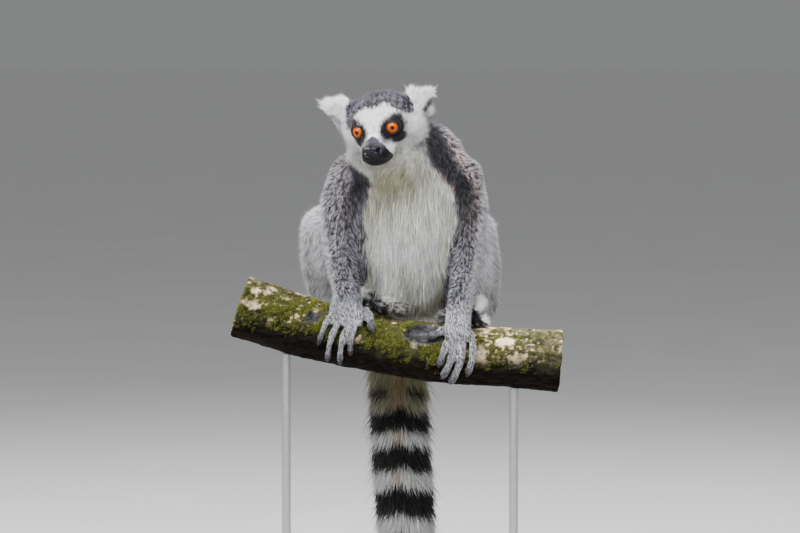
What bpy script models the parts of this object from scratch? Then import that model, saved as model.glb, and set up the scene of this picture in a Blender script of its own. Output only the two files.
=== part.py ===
"""A ring-tailed lemur, life size, sitting on a cut length of branch that a plain display stand holds up.

Metres, +Z up, origin on the floor under the middle of the stand's base. The animal faces -Y, and its own
left side is at +X. Body sizes below are in millimetres from the seat, the top of the branch under the belly.
"""

import math

import bmesh
import bpy
from mathutils import Matrix, Vector
import numpy as np

MM = 0.001
GAP = 0.3  # left between touching solids
GROW = 0.42  # how far a cutter stands off its solid at the corners, which leaves the gap along the faces

# Stand
BASE_SIZE = (430, 310, 20)
BASE_EDGE = 3
PERCH_HEIGHT = 600
SEAT = Vector((0, -17, PERCH_HEIGHT))
ROD_RADIUS = 5
ROD_REACH = 128
ROD_FOOT_RADIUS = 13
ROD_FOOT_HEIGHT = 7
ROD_FOOT_EDGE = 2

# Branch: distance along X, height of its middle and its radius
BRANCH = (
    (-180, 16, 36),
    (-120, -4, 35.5),
    (-60, -20.5, 33),
    (0, -32, 33),
    (60, -38.5, 34.5),
    (120, -42, 34.5),
    (180, -46, 36),
)

# Head: where its middle is, how it is turned, and its outline from the nose back
HEAD_MIDDLE = (-20, -62, 218)
HEAD_TURN, HEAD_NOD, HEAD_LEAN = math.radians(-14), math.radians(15), math.radians(-8.3)
HEAD_OUTLINE = (
    (0, -56, -13.5, 8.5, 9),
    (0, -48, -15.3, 13, 14.5),
    (0, -38, -15.8, 15, 17.5),
    (0, -29, -12.5, 18, 20.5),
    (0, -21, -6.5, 25.5, 26.5),
    (0, -10, -1.5, 35.5, 34),
    (0, 4, 1, 44, 38),
    (0, 17, 2, 45.5, 38.5),
    (0, 30, 1.5, 38, 33),
)
MUZZLE_END = 2.8
NOSE_ROUND, SKULL_ROUND = 3, 15
JOWLS = 0.4
EYE_PLACE, EYE_RADIUS = (18.2, -23, 4.2), 8.6
EAR_ROOT, EAR_AXIS, EAR_FACE = (35, 13, 9), (0.82, 0.08, 0.57), (0.30, -0.95, 0.0)
EAR_OUTLINE = ((-6, 18, 9), (5, 21, 8.5), (15, 19.5, 7), (26, 14.5, 5.5), (35, 8, 4))
EAR_ROUND = 4

# Neck, trunk and tail: middle of each section, half its width and half its depth
NECK = ((4, -4, 166, 50, 43), (-6, -27, 181, 47, 38), (-16, -45, 192, 46, 33), (-19, -57, 203, 39, 30))
TRUNK = (
    (4, 90, 4, 52, 34),
    (5, 74, 28, 70, 56),
    (7, 52, 64, 76, 62),
    (10, 31, 104, 77, 63),
    (15, 17, 146, 73, 62),
    (20, 5, 182, 62, 53),
    (22, -9, 208, 42, 35),
)
NECK_ROUND, TRUNK_ROUND = (10, 10), (18, 16)
TAIL = (
    (4, 86, 32, 24, 24),
    (2, 119, 4, 32, 31),
    (-3, 117, -40, 35, 35),
    (-3, 111, -100, 37, 37),
    (1, 109, -165, 37.5, 37.5),
    (7, 108, -230, 37.5, 37.5),
    (9, 107, -300, 37.5, 37.5),
    (9, 105, -370, 37, 37),
    (7, 100, -440, 35, 35),
    (3, 90, -498, 30, 30),
    (-1, 76, -535, 20, 20),
)
TAIL_PARTS = (0, 3.2, 5.6, 8, 10)
TAIL_ROUND = 16

# Limbs of each side: the joints, then the fingers or toes as (start, end) places on the branch
ARMS = {
    "right": (
        (-49, -5, 160, 32, 33),
        (-66, -6, 128, 26, 26),
        (-70, -6, 88, 20.5, 21),
        (-63, -11, 52, 18, 17),
        (-58, -15, 26, 16, 13),
    ),
    "left": (
        (62, -3, 160, 32, 33),
        (77, -5, 124, 24, 26),
        (77, -7, 82, 19.5, 21),
        (71, -12, 42, 17, 16),
        (66, -17, 12, 14.5, 12.5),
    ),
}
ELBOW, WRIST = 2, 4
ARM_ROUND, HAND_ROUND = 29, 5
# Each hand: middle of the palm and of the knuckles, as (X, degrees round the branch, lift, two half widths)
PALMS = {
    "right": ((-60, 36, 9.5, 20, 8.5), (-62, 60, 6.5, 21, 6.5)),
    "left": ((63, 44, 9, 16, 8.5), (62.5, 66, 6.5, 17.5, 6.5)),
}
# Each finger: X and degrees round the branch where it starts, the same where it ends, and its radius
FINGERS = {
    "right": (
        (-46, 36, -31, 60, 5.8),
        (-50, 62, -54, 104, 5.4),
        (-59, 64, -65, 129, 5.8),
        (-67, 62, -80, 130, 5.6),
        (-76, 50, -90, 101, 5),
    ),
    "left": (
        (54, 40, 33, 55, 5.2),
        (54, 66, 46, 99, 5.3),
        (60, 70, 51, 120, 5.6),
        (66, 70, 58, 134, 5.6),
        (73, 66, 75, 117, 4.8),
    ),
}

THIGHS = {
    "right": ((-55, 86, 32, 54, 50), (-71, 62, 68, 47, 43), (-84, 38, 102, 32, 32)),
    "left": ((60, 84, 20, 58, 52), (73, 62, 60, 46, 44), (82, 38, 98, 31, 32)),
}
SHINS = {
    "right": ((-84, 31, 92, 24, 21), (-79, 31, 58, 21, 21), (-64, 43, 30, 14, 14)),
    "left": ((86, 31, 88, 23, 21), (88, 31, 50, 20, 21), (84, 43, 18, 14, 14)),
}
THIGH_ROUND, SHIN_ROUND = (30, 26), (12, 6)
FEET = {
    "right": ((-63, 60, 14, 12, 13), (-55, 40, 24, 17, 14), (-41, 20, 26, 20, 13), (-36, 6, 22, 18, 10)),
    "left": ((84, 58, 2, 12, 13), (82, 40, 12, 17, 14), (78, 20, 13, 22, 13), (77, 6, 9, 20, 10)),
}
FOOT_ROUND = (9, 5)
TOES = {
    "right": (
        (-30, -26, -7, 4, 8.6),
        (-28, -12, -22, 10, 5.4),
        (-35, -12, -33, 10, 5.6),
        (-43, -14, -44, 4, 5.2),
        (-52, -20, -56, 2, 5),
    ),
    "left": (
        (66, -26, 42, 2, 7.6),
        (66, -12, 62, 2, 5),
        (74, -12, 74, 4, 5.4),
        (82, -12, 84, 9, 5.6),
        (90, -16, 93, 10, 5.2),
    ),
}

COLOURS = {
    "grey_coat": (0.28, 0.27, 0.29),
    "white_coat": (0.82, 0.81, 0.76),
    "dark_skin": (0.02, 0.02, 0.024),
    "ringed_coat": (0.5, 0.5, 0.5),
    "eye": (0.85, 0.28, 0.02),
    "bark": (0.16, 0.14, 0.08),
    "dark_wood": (0.07, 0.035, 0.02),
    "steel": (0.55, 0.56, 0.58),
}
ROUGHNESS = {"eye": 0.05, "dark_skin": 0.4, "dark_wood": 0.4, "steel": 0.3}


def clear():
    for thing in list(bpy.data.objects):
        bpy.data.objects.remove(thing)


def material(slot):
    """The slot's Principled material, made the first time it is asked for."""
    found = bpy.data.materials.get(slot)
    if found:
        return found
    made = bpy.data.materials.new(slot)
    made.use_nodes = True
    shader = made.node_tree.nodes["Principled BSDF"]
    shader.inputs["Base Color"].default_value = (*COLOURS[slot], 1)
    shader.inputs["Roughness"].default_value = ROUGHNESS.get(slot, 0.85)
    shader.inputs["Metallic"].default_value = 1.0 if slot == "steel" else 0.0
    return made


def add(name, slot, mesh_maker):
    """An object of the mesh that mesh_maker fills, in triangles, in the slot's material."""
    mesh = bpy.data.meshes.new(name)
    shape = bmesh.new()
    mesh_maker(shape)
    bmesh.ops.recalc_face_normals(shape, faces=shape.faces)
    bmesh.ops.triangulate(shape, faces=shape.faces)
    shape.to_mesh(mesh)
    shape.free()
    mesh.shade_smooth()
    mesh.materials.append(material(slot))
    thing = bpy.data.objects.new(name, mesh)
    bpy.context.collection.objects.link(thing)
    return thing


def helper(thing):
    """Keeps a cutter or a joined shape out of the finished object."""
    thing.hide_render = True
    thing.display_type = "WIRE"
    return thing


def row_at(stations, place):
    """The row at a place counted in stations, on a smooth cubic through them."""
    rows = np.array(stations, float)
    first = min(int(place), len(rows) - 2)
    before, after = max(first - 1, 0), min(first + 2, len(rows) - 1)
    a, b, t = rows[first], rows[first + 1], place - first
    leave = (b - rows[before]) / (first + 1 - before)
    arrive = (rows[after] - a) / (after - first)
    bend = (t**3 - 2 * t**2 + t) * leave + (t**3 - t**2) * arrive
    return (2 * t**3 - 3 * t**2 + 1) * a + (3 * t**2 - 2 * t**3) * b + bend


def tube(name, slot, stations, span=None, rings=8, sides=14, rounds=(0, 0), side=(1, 0, 0), **shape):
    """A closed tube through stations of middle, half width and half depth, or a span of it between places.

    An end is flat, or rounded over the length in rounds. A flat end inside the tube stands back half the
    gap, so the next span leaves the whole gap. side is the direction that the width lies in. shape can hold
    frame, which places the tube from the seat, and jowls, how much wider a section is on its underside.
    """
    start, end = span or (0, len(stations) - 1)
    step = 1e-3
    frame, jowls = shape.get("frame", Matrix.Identity(4)), shape.get("jowls", 0)

    def section(place):
        row = row_at(stations, place)
        ahead, behind = (row_at(stations, min(max(place + d, 0), len(stations) - 1)) for d in (step, -step))
        along = Vector((ahead - behind)[:3])
        speed = along.length / (min(place + step, len(stations) - 1) - max(place - step, 0))
        along.normalize()
        wide = (Vector(side) - along * along.dot(Vector(side))).normalized()
        return Vector(row[:3]), along, wide, along.cross(wide), row[3], row[4], speed

    def round_off(place, length, way):
        middle, along, wide, deep, half_width, half_depth, _ = section(place)
        for turn in (math.radians(28), math.radians(58)):
            centre = middle + along * (way * length * math.sin(turn))
            yield centre, wide, deep, half_width * math.cos(turn), half_depth * math.cos(turn)

    places = np.linspace(start, end, rings)
    if not rounds[0] and start > 0:
        places[0] += GAP / 2 / section(start)[6]
    if not rounds[1] and end < len(stations) - 1:
        places[-1] -= GAP / 2 / section(end)[6]
    loops = [(s[0], s[2], s[3], s[4], s[5]) for s in map(section, places)]
    tips = [loops[0][0], loops[-1][0]]
    if rounds[0]:
        loops = list(round_off(start, rounds[0], -1))[::-1] + loops
        tips[0] = section(start)[0] - section(start)[1] * rounds[0]
    if rounds[1]:
        loops += list(round_off(end, rounds[1], 1))
        tips[1] = section(end)[0] + section(end)[1] * rounds[1]

    def fill(shape):
        made = []
        for centre, wide, deep, half_width, half_depth in loops:
            made.append([])
            for turn in (2 * math.pi * k / sides for k in range(sides)):
                out = half_width * math.cos(turn) * (1 + jowls * max(math.sin(turn), 0))
                point = centre + wide * out + deep * (half_depth * math.sin(turn))
                made[-1].append(shape.verts.new((SEAT + frame @ point) * MM))
        for one, other in zip(made, made[1:]):
            for k in range(sides):
                after = (k + 1) % sides
                shape.faces.new((one[k], one[after], other[after], other[k]))
        for ring, tip in ((made[0], tips[0]), (made[-1], tips[1])):
            pole = shape.verts.new((SEAT + frame @ tip) * MM)
            for k in range(sides):
                shape.faces.new((ring[k], ring[(k + 1) % sides], pole))

    return add(name, slot, fill)


def grown(thing):
    """A copy of the object, a little larger all round, that parts its neighbours from it."""
    name = "around_" + thing.name
    found = bpy.data.objects.get(name)
    if found:
        return found
    copy = bpy.data.objects.new(name, thing.data.copy())
    bpy.context.collection.objects.link(copy)
    normals = [vertex.normal.copy() for vertex in copy.data.vertices]
    for vertex, normal in zip(copy.data.vertices, normals):
        vertex.co += normal * (GROW * MM)
    return helper(copy)


def boolean(thing, other, operation):
    change = thing.modifiers.new(other.name, "BOOLEAN")
    change.object = other
    change.operation = operation
    change.solver = "EXACT"


def part_from(thing, *neighbours):
    for neighbour in neighbours:
        boolean(thing, grown(neighbour), "DIFFERENCE")


def on_branch(x, degrees, lift):
    """A point at x along the branch, turned from its top to its front by degrees, lifted off its bark."""
    rows = np.array([row_at(BRANCH, place) for place in np.linspace(0, len(BRANCH) - 1, 61)])
    height, beside = np.interp((x, x + 1), rows[:, 0], rows[:, 1])
    radius = np.interp(x, rows[:, 0], rows[:, 2])
    up = Vector((height - beside, 0, 1)).normalized()
    angle = math.radians(degrees)
    reach = radius + lift
    return Vector((x, -reach * math.sin(angle), height)) + up * (reach * math.cos(angle))


def digit(name, x, degrees, end_x, end_degrees, radius):
    """A finger or toe that lies along the bark, arched over its middle joint."""
    stations = []
    for share in (0, 0.45, 1):
        arch = radius * 0.55 * math.sin(math.pi * share)
        thin = radius * (1 - 0.18 * share)
        place = (x + (end_x - x) * share, degrees + (end_degrees - degrees) * share)
        stations.append((*on_branch(*place, thin * 0.92 + arch), thin, thin))
    across = on_branch(x, degrees, 1) - on_branch(x, degrees, 0)
    rounds = (radius * 0.8, radius * 0.9)
    return helper(tube(name, "dark_skin", stations, rings=3, sides=6, rounds=rounds, side=across))


def head_frame():
    tilt = Matrix.Rotation(HEAD_NOD, 4, "X") @ Matrix.Rotation(HEAD_LEAN, 4, "Y")
    return Matrix.Translation(HEAD_MIDDLE) @ Matrix.Rotation(HEAD_TURN, 4, "Z") @ tilt


def make_eye(side, sign, frame):
    def fill(shape):
        centre = (SEAT + frame @ Vector((sign * EYE_PLACE[0], *EYE_PLACE[1:]))) * MM
        place = Matrix.Translation(centre)
        bmesh.ops.create_uvsphere(shape, u_segments=12, v_segments=8, radius=EYE_RADIUS * MM, matrix=place)

    return add("eye_" + side, "eye", fill)


def make_ear(side, sign, frame):
    axis = Vector((sign * EAR_AXIS[0], *EAR_AXIS[1:])).normalized()
    face = Vector((sign * EAR_FACE[0], *EAR_FACE[1:]))
    root = Vector((sign * EAR_ROOT[0], *EAR_ROOT[1:]))
    stations = [(*(root + axis * reach), wide, thick) for reach, wide, thick in EAR_OUTLINE]
    shape = {"side": axis.cross(face), "frame": frame}
    return tube("ear_" + side, "white_coat", stations, rings=7, rounds=(3, EAR_ROUND), **shape)


def make_head():
    frame = head_frame()
    eyes = [make_eye("left", 1, frame), make_eye("right", -1, frame)]
    back = len(HEAD_OUTLINE) - 1
    shape = {"jowls": JOWLS, "frame": frame}
    muzzle = tube("muzzle", "dark_skin", HEAD_OUTLINE, (0, MUZZLE_END), 6, 16, (NOSE_ROUND, 0), **shape)
    head = tube("head", "white_coat", HEAD_OUTLINE, (MUZZLE_END, back), 9, 20, (0, SKULL_ROUND), **shape)
    ears = [make_ear("left", 1, frame), make_ear("right", -1, frame)]
    for ear in ears:
        part_from(ear, head)
    part_from(head, *eyes)
    return head, muzzle, ears


def make_branch():
    stations = [(x, 0, height, radius, radius) for x, height, radius in BRANCH]
    return tube("perch_branch", "bark", stations, rings=13, sides=16, side=(0, 1, 0))


def make_trunk(head, muzzle, branch):
    trunk = tube("trunk", "white_coat", TRUNK, rings=10, sides=18, rounds=TRUNK_ROUND)
    part_from(trunk, branch)
    neck = tube("neck", "white_coat", NECK, rings=4, sides=14, rounds=NECK_ROUND)
    part_from(neck, trunk, head, muzzle)
    return trunk, neck


def make_tail(trunk):
    spans = list(zip(TAIL_PARTS, TAIL_PARTS[1:]))
    pieces = []
    for number, span in enumerate(spans, 1):
        rounds = (0, TAIL_ROUND if number == len(spans) else 0)
        pieces.append(tube(f"tail_{number}", "ringed_coat", TAIL, span, 6, 12, rounds))
    part_from(pieces[0], trunk)
    return pieces


def make_arm(side, trunk, neck, branch):
    palm = [(*on_branch(*place), wide, deep) for *place, wide, deep in PALMS[side]]
    stations = [*ARMS[side], *palm]
    upper = tube("upper_arm_" + side, "grey_coat", stations, (0, ELBOW), 5, 12, (ARM_ROUND, 0))
    forearm = tube("forearm_" + side, "grey_coat", stations, (ELBOW, WRIST), 5, 12)
    hand = tube("hand_" + side, "grey_coat", stations, (WRIST, len(stations) - 1), 4, 10, (0, HAND_ROUND))
    for number, finger in enumerate(FINGERS[side], 1):
        boolean(hand, digit(f"finger_{side}_{number}", *finger), "UNION")
    part_from(upper, trunk, neck)
    part_from(forearm, trunk)
    part_from(hand, branch)
    return upper, forearm, hand


def make_leg(side, trunk, branch, arm):
    upper_arm, forearm, hand = arm
    thigh = tube("thigh_" + side, "grey_coat", THIGHS[side], rings=6, sides=12, rounds=THIGH_ROUND)
    shin = tube("shin_" + side, "grey_coat", SHINS[side], rings=5, sides=12, rounds=SHIN_ROUND)
    foot = tube("foot_" + side, "white_coat", FEET[side], rings=5, sides=10, rounds=FOOT_ROUND)
    for number, toe in enumerate(TOES[side], 1):
        boolean(foot, digit(f"toe_{side}_{number}", *toe), "UNION")
    part_from(thigh, trunk, upper_arm, forearm, branch)
    part_from(shin, thigh, trunk, upper_arm, forearm, branch)
    part_from(foot, shin, thigh, trunk, forearm, hand, branch)


def make_stand(branch):
    def slab(shape):
        size = Matrix.Diagonal((*(side * MM for side in BASE_SIZE), 1))
        place = Matrix.Translation((0, 0, BASE_SIZE[2] / 2 * MM))
        bmesh.ops.create_cube(shape, size=1, matrix=place @ size)
        middle = BASE_SIZE[2] / 2 * MM
        top = [edge for edge in shape.edges if min(vertex.co.z for vertex in edge.verts) > middle]
        bmesh.ops.bevel(shape, geom=top, offset=BASE_EDGE * MM, segments=3, affect="EDGES", profile=0.5)

    add("stand_base", "dark_wood", slab)
    floor = -SEAT.z + BASE_SIZE[2] + GAP
    for side, sign in (("left", 1), ("right", -1)):
        x = sign * ROD_REACH
        foot = floor + ROD_FOOT_HEIGHT
        top = on_branch(x, 180, 0).z + ROD_RADIUS

        def turned(shape, x=x, foot=foot, top=top):
            outline = ((0, floor), (ROD_FOOT_RADIUS, floor), (ROD_FOOT_RADIUS, foot - ROD_FOOT_EDGE))
            outline += ((ROD_FOOT_RADIUS - ROD_FOOT_EDGE, foot), (ROD_RADIUS, foot))
            outline += ((ROD_RADIUS, top), (0, top))
            points = [shape.verts.new((SEAT + Vector((x + out, 0, height))) * MM) for out, height in outline]
            edges = [shape.edges.new(pair) for pair in zip(points, points[1:])]
            centre = (SEAT + Vector((x, 0, 0))) * MM
            spin = {"cent": centre, "axis": (0, 0, 1), "dvec": (0, 0, 0), "angle": 2 * math.pi, "steps": 12}
            bmesh.ops.spin(shape, geom=points + edges, use_duplicate=False, **spin)
            bmesh.ops.remove_doubles(shape, verts=shape.verts, dist=1e-5)

        part_from(add("stand_rod_" + side, "steel", turned), branch)


def main():
    clear()
    head, muzzle, ears = make_head()
    branch = make_branch()
    trunk, neck = make_trunk(head, muzzle, branch)
    for ear in ears:
        part_from(ear, neck, trunk)
    part_from(trunk, head)
    tail = make_tail(trunk)
    for side in ("left", "right"):
        arm = make_arm(side, trunk, neck, branch)
        make_leg(side, trunk, branch, arm)
    part_from(tail[0], branch)
    make_stand(branch)


main()
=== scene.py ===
import contextlib
import heapq
import math

import bmesh
import bpy
import numpy as np
from mathutils import Matrix, Vector, kdtree, noise
from mathutils.bvhtree import BVHTree


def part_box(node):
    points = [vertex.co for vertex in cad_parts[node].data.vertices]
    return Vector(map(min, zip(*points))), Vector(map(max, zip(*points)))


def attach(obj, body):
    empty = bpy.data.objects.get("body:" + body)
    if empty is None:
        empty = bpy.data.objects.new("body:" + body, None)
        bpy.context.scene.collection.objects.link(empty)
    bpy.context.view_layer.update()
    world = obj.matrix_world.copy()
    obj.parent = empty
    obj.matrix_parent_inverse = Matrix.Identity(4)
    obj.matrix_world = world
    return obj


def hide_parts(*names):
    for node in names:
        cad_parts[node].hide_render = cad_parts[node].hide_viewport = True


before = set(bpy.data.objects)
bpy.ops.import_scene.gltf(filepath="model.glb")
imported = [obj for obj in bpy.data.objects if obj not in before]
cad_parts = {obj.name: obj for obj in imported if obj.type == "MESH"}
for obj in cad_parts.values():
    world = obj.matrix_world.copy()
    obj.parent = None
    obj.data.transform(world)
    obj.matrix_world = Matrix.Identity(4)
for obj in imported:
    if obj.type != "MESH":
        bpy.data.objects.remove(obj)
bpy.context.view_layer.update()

# A ring-tailed lemur, life size, on a cut branch over a display stand. One skin covers its flesh, tufts of
# fur grow from the skin, and the eyes, nails, bark and moss are pieces of their own. The model is in metres,
# +Z up. The body's own sizes are millimetres from the seat, the top of the branch under the belly. The head's
# are millimetres in the head's own frame: +X its left, -Y out of its nose, +Z up.

MM = 0.001
SEAT = np.array((0, -17, 600)) * MM
SEED = 7
noise.seed_set(SEED)  # without it noise_vector would differ from run to run

# Head
HEAD_TURN, HEAD_NOD, HEAD_LEAN = math.radians(-14), math.radians(15), math.radians(-8.3)
EYE_PLACE, EYE_RADIUS = (18.2, -23, 4.2), 8.6
GAZE = (0.31, -0.95, 0.02)  # the way that the lids' opening faces
PUPIL_GAZE = {"left": (0.32, -0.945, 0.04), "right": (-0.17, -0.98, 0.05)}
LID_ANGLE = 51  # degrees from the gaze to the edge of the lids
LID_RADIUS, LID_GLOSS = 9.5, 0.45
# Rings of the lids' rim, as degrees past the lids' edge and radius
LID_RINGS = ((-1.5, 8.4), (-0.9, 8.85), (0.2, 9.25), (2, 9.6), (5, 9.75), (9, 9.7), (15, 9.3), (22, 8.4))
EAR_ROOT, EAR_AXIS, EAR_FACE = (35, 13, 9), (0.82, 0.08, 0.57), (0.30, -0.95, 0.0)
EARS = (("ear_left", 1), ("ear_right", -1))
EAR_FRINGE = {"ear_left": 10.5, "ear_right": 5.5}  # how far the hair stands past the ear's tip
# The slit of each ear, where the ear canal's shadow is painted dark, as places along and across it
EAR_SLITS = {
    "ear_left": ((-13, 15.5), (-5, 12.5), (6, 9.2), (18, 6.2), (23, 6)),
    "ear_right": ((10, 10), (22, 8)),
}
NOSTRIL, NOSTRIL_TAIL = (6.2, -57.2, -11.6), (2.6, 3.0, 0.8)
MOUTH = ((0, -57.5, -22.5), (7, -54.5, -22), (12.5, -46, -22.5), (15.5, -37, -23), (17, -30, -24.5))

# Skin
SWELL = 0.35  # closes the seams between the solids
VOXEL = 1.3
KEPT_SHARE = 0.17  # of the faces that the coat hides
WELD = 1e-5  # metres
FLESH = ("head", "muzzle", "neck", "trunk", "ear", "eye", "tail", "upper_arm", "forearm", "hand")
FLESH += ("thigh", "shin", "foot")
# How deep the skin lies under the tips of the coat, by the start of the part's name
DEPTH = {"head": 6, "muzzle": -0.6, "eye": 1, "ear": 1.6, "neck": 7.5, "trunk": 10, "tail": 11}
DEPTH |= {"upper_arm": 5, "forearm": 4, "hand": 0, "thigh": 6, "shin": 4.5, "foot": 0}
# Places on the branch are given as X, degrees round it from its top to its front, and lift off its bark.
# Each hand or foot: rows from the wrist or ankle to the knuckles, as X, Y, Z, half width and half depth
PALMS = {
    "hand_right": ((-58, -15, 27, 14.5, 12), (-60, -26, 15, 18, 9), (-61.5, -34.5, -3, 20.5, 6.5)),
    "hand_left": ((66, -17, 14, 12.5, 12), (64.5, -28, -1, 14, 8.5), (63.7, -33, -11.5, 15, 5.5)),
    "foot_right": ((-63, 60, 14, 11, 11), (-53, 38, 26, 14, 12), (-42, 20, 28, 17, 12), (-37, 8, 24, 15, 9)),
    "foot_left": ((84, 58, 2, 11, 11), (82, 40, 13, 15, 12), (78, 20, 15, 19, 12), (77, 8, 11, 17, 9)),
}
# Each digit: X and degrees where it leaves the palm, the same at its tip, its half width, and its bow along X
DIGITS = {
    "hand_right": (
        (-48, 32, -36, 59, 5.1, 0),
        (-51, 48, -52.5, 104, 4.5, -3),
        (-59, 48, -60.5, 128, 4.6, -3.5),
        (-68, 48, -74, 129, 4.5, -4),
        (-76, 42, -87, 101, 4.2, -3),
    ),
    "hand_left": (
        (56, 36, 34, 54, 4.5, 0),
        (54, 46, 45.5, 98, 4.2, 0),
        (61.5, 46, 51, 120, 4.4, 2),
        (68.5, 46, 60, 132, 4.4, 3),
        (76, 44, 77, 111, 4.1, 4),
    ),
    "foot_right": (
        (-29, -22, -7, 5, 9.0, 0),
        (-28, -12, -21, 12, 4.8, 0),
        (-35, -12, -32, 13, 4.9, 0),
        (-43, -14, -43, 8, 4.7, 0),
        (-51, -18, -54, 4, 4.4, 0),
    ),
    "foot_left": (
        (66, -24, 45, 4, 8.0, 0),
        (67, -12, 62, 4, 4.6, 0),
        (74, -12, 73, 7, 4.9, 0),
        (82, -12, 84, 12, 5.0, 0),
        (89, -16, 94, 12, 4.6, 0),
    ),
}
KNUCKLE_SHARE = 0.2  # how far along the fingers the palm reaches
# How far on, and how narrow, each loop of a tube's rounded end is
TUBE_END = [(math.sin(turn), math.cos(turn)) for turn in (math.radians(35), math.radians(62))] + [(1, 0)]

# Colours, as linear red, green and blue
# The third of these, a dark cream, is cream fur with painted shade in it, for the shade under the chin, by
# the belly and on the tail.
WHITE, EAR_WHITE, SHADED_CREAM = (0.70, 0.71, 0.70), (0.80, 0.80, 0.82), (0.32, 0.298, 0.165)
PALE_GREY, SILVER, GREY = (0.47, 0.475, 0.52), (0.27, 0.275, 0.315), (0.165, 0.162, 0.185)
CAP_GREY, CHARCOAL, SLATE = (0.050, 0.048, 0.060), (0.026, 0.025, 0.031), (0.011, 0.010, 0.014)
BLACK, ROSE_BROWN, TAN = (0.0045, 0.004, 0.005), (0.27, 0.205, 0.195), (0.20, 0.12, 0.065)
# The last of these is the muzzle's slate-mauve top with a painted bluish sheen.
LILAC, WHISKER_BED, MUZZLE_TOP_WITH_SHEEN = (0.36, 0.35, 0.39), (0.30, 0.28, 0.26), (0.058, 0.052, 0.068)
# Painted shade in the ear's cup round its slit, and painted shadow deep in its canal.
EAR_CUP_PAINTED_SHADE, EAR_CANAL_PAINTED_SHADOW = (0.24, 0.24, 0.26), (0.06, 0.06, 0.064)
GREAT_TOE, LID_SKIN = (0.20, 0.19, 0.185), (0.010, 0.010, 0.013)
# The last of these is near-black painted shade for the branch's underside.
BARK, BARK_RED, BARK_SHADE = (0.060, 0.054, 0.032), (0.036, 0.013, 0.007), (0.012, 0.011, 0.008)
MOSS, MOSS_LIGHT, OLIVE = (0.028, 0.036, 0.006), (0.24, 0.25, 0.035), (0.042, 0.044, 0.012)
LICHEN, OLD_WOOD, OLD_WOOD_LIGHT = (0.56, 0.46, 0.29), (0.026, 0.026, 0.032), (0.055, 0.055, 0.066)
# Where each black ring of the tail starts and ends, below the seat. The last is the tip.
RINGS = ((80, 91), (106, 130), (146, 174), (195, 226), (249, 277), (299, 326), (348, 374), (396, 421))
RINGS += ((443, 467), (489, 620))

# Coat
# By the start of the part's name: length, lift in degrees, width, hairs for each square millimetre, clumping,
# and how far noise turns the hairs' lie
COAT = {
    "head": (3.9, 60, 0.52, 5.4, 0.0, 0.1),
    "muzzle": (1.5, 14, 0.35, 3.0, 0.0, 0.05),
    "eye": (2.4, 14, 0.38, 4.0, 0.0, 0.05),
    "ear": (8, 20, 0.52, 4.8, 0.34, 0.4),
    "neck": (12, 28, 0.6, 2.6, 0.05, 0.15),
    "trunk": (9, 46, 0.85, 1.5, 0.0, 0.1),
    "tail": (20, 34, 1.0, 1.5, 0.12, 0.15),
    "tail_1": (24, 38, 1.0, 1.5, 0.1, 0.15),
    "upper_arm": (5.6, 60, 0.76, 2.1, 0.0, 0.05),
    "forearm": (4.6, 60, 0.72, 2.7, 0.0, 0.04),
    "hand": (4.4, 15, 0.5, 4.2, 0.0, 0.04),
    "thigh": (7.5, 46, 0.85, 1.5, 0.0, 0.06),
    "shin": (6.5, 46, 0.8, 1.6, 0.0, 0.06),
    "foot": (7.5, 22, 0.55, 3.4, 0.2, 0.15),
}
# How far the hair of a part hangs straight down, from 0 to 1
HANG = {"trunk": 0.97, "neck": 0.75, "upper_arm": 0.92, "forearm": 0.85}
HANG |= {"thigh": 0.95, "shin": 0.9, "tail": 0.9}
# How much the tips of a piece's tufts bend down
SAG = {"coat_throat": 0.3, "coat_chest": 0.5, "coat_tail_top": 0.2, "coat_tail_end": 0.2}
# Each coat piece: name, the parts that it covers, slot name, most triangles, and whether its tufts bend
PIECES = (
    ("coat_crown", ("head",), "grey_coat", 160000, False),
    ("coat_face", ("head", "muzzle", "eye"), "white_coat", 150000, False),
    ("coat_ears", ("ear",), "white_coat", 84000, True),
    ("coat_throat", ("neck",), "white_coat", 120000, True),
    ("coat_chest", ("trunk",), "white_coat", 180000, True),
    ("coat_back", ("trunk",), "grey_coat", 130000, True),
    ("coat_arms", ("upper_arm", "forearm"), "grey_coat", 198000, False),
    ("coat_hands", ("hand",), "grey_coat", 80000, False),
    ("coat_feet", ("foot",), "white_coat", 50000, False),
    ("coat_legs", ("thigh", "shin"), "grey_coat", 140000, False),
    ("coat_tail_top", ("tail_1", "tail_2"), "ringed_coat", 105000, True),
    ("coat_tail_end", ("tail_3", "tail_4"), "ringed_coat", 100000, True),
)
STRAYS = 0.06  # share of the tufts that stand out of the coat
HAIRS_IN_LOCK = 12
MIDDLE, SHOWN = 0.45, 0.62  # shares of a tuft's length at its bend, and where its colour shows
TUFT_PATCH = 0.003  # across a tuft's place on the map

# Branch
BARK_VOXEL = 1.8
# Middle along and up, half length and half height
SCAR, KNOT = (27, -14.6, 23, 10.5), (-97, 6, 8, 6)
ALONG_GRAIN = (0.35, 1, 1)
MOSS_LEAVES = 22000

# Studio
LENS, CAMERA_REACH, CAMERA_RISE = 135, 3.36, math.radians(4)
LOOK = Vector((0, -0.017, 0.660))
WORLD_LIGHT = 0.46
# Each lamp: place, size and power
LAMPS = {
    "key": ((-2.6, -1.9, 2.8), 0.9, 165),
    "front": ((-0.35, -3.1, 2.4), 0.5, 50),
    "top": ((0.12, -1.6, 3.4), 0.62, 170),
    "fill": ((1.6, -2.8, 2.4), 0.6, 62),
    "rim": ((0.9, 2.2, 2.6), 1.4, 110),
    "rim_left": ((-1.8, 1.8, 2.2), 1.2, 80),
}

# ---------------------------------------------------------------- numbers


def unit(vectors):
    lengths = np.linalg.norm(vectors, axis=-1, keepdims=True)
    return vectors / np.maximum(lengths, 1e-12)


def ramp(values, low, high):
    """0 below low and 1 above high, smooth between. low may be the larger, which turns it round."""
    share = np.clip((values - low) / (high - low), 0, 1)
    return share * share * (3 - 2 * share)


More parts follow.
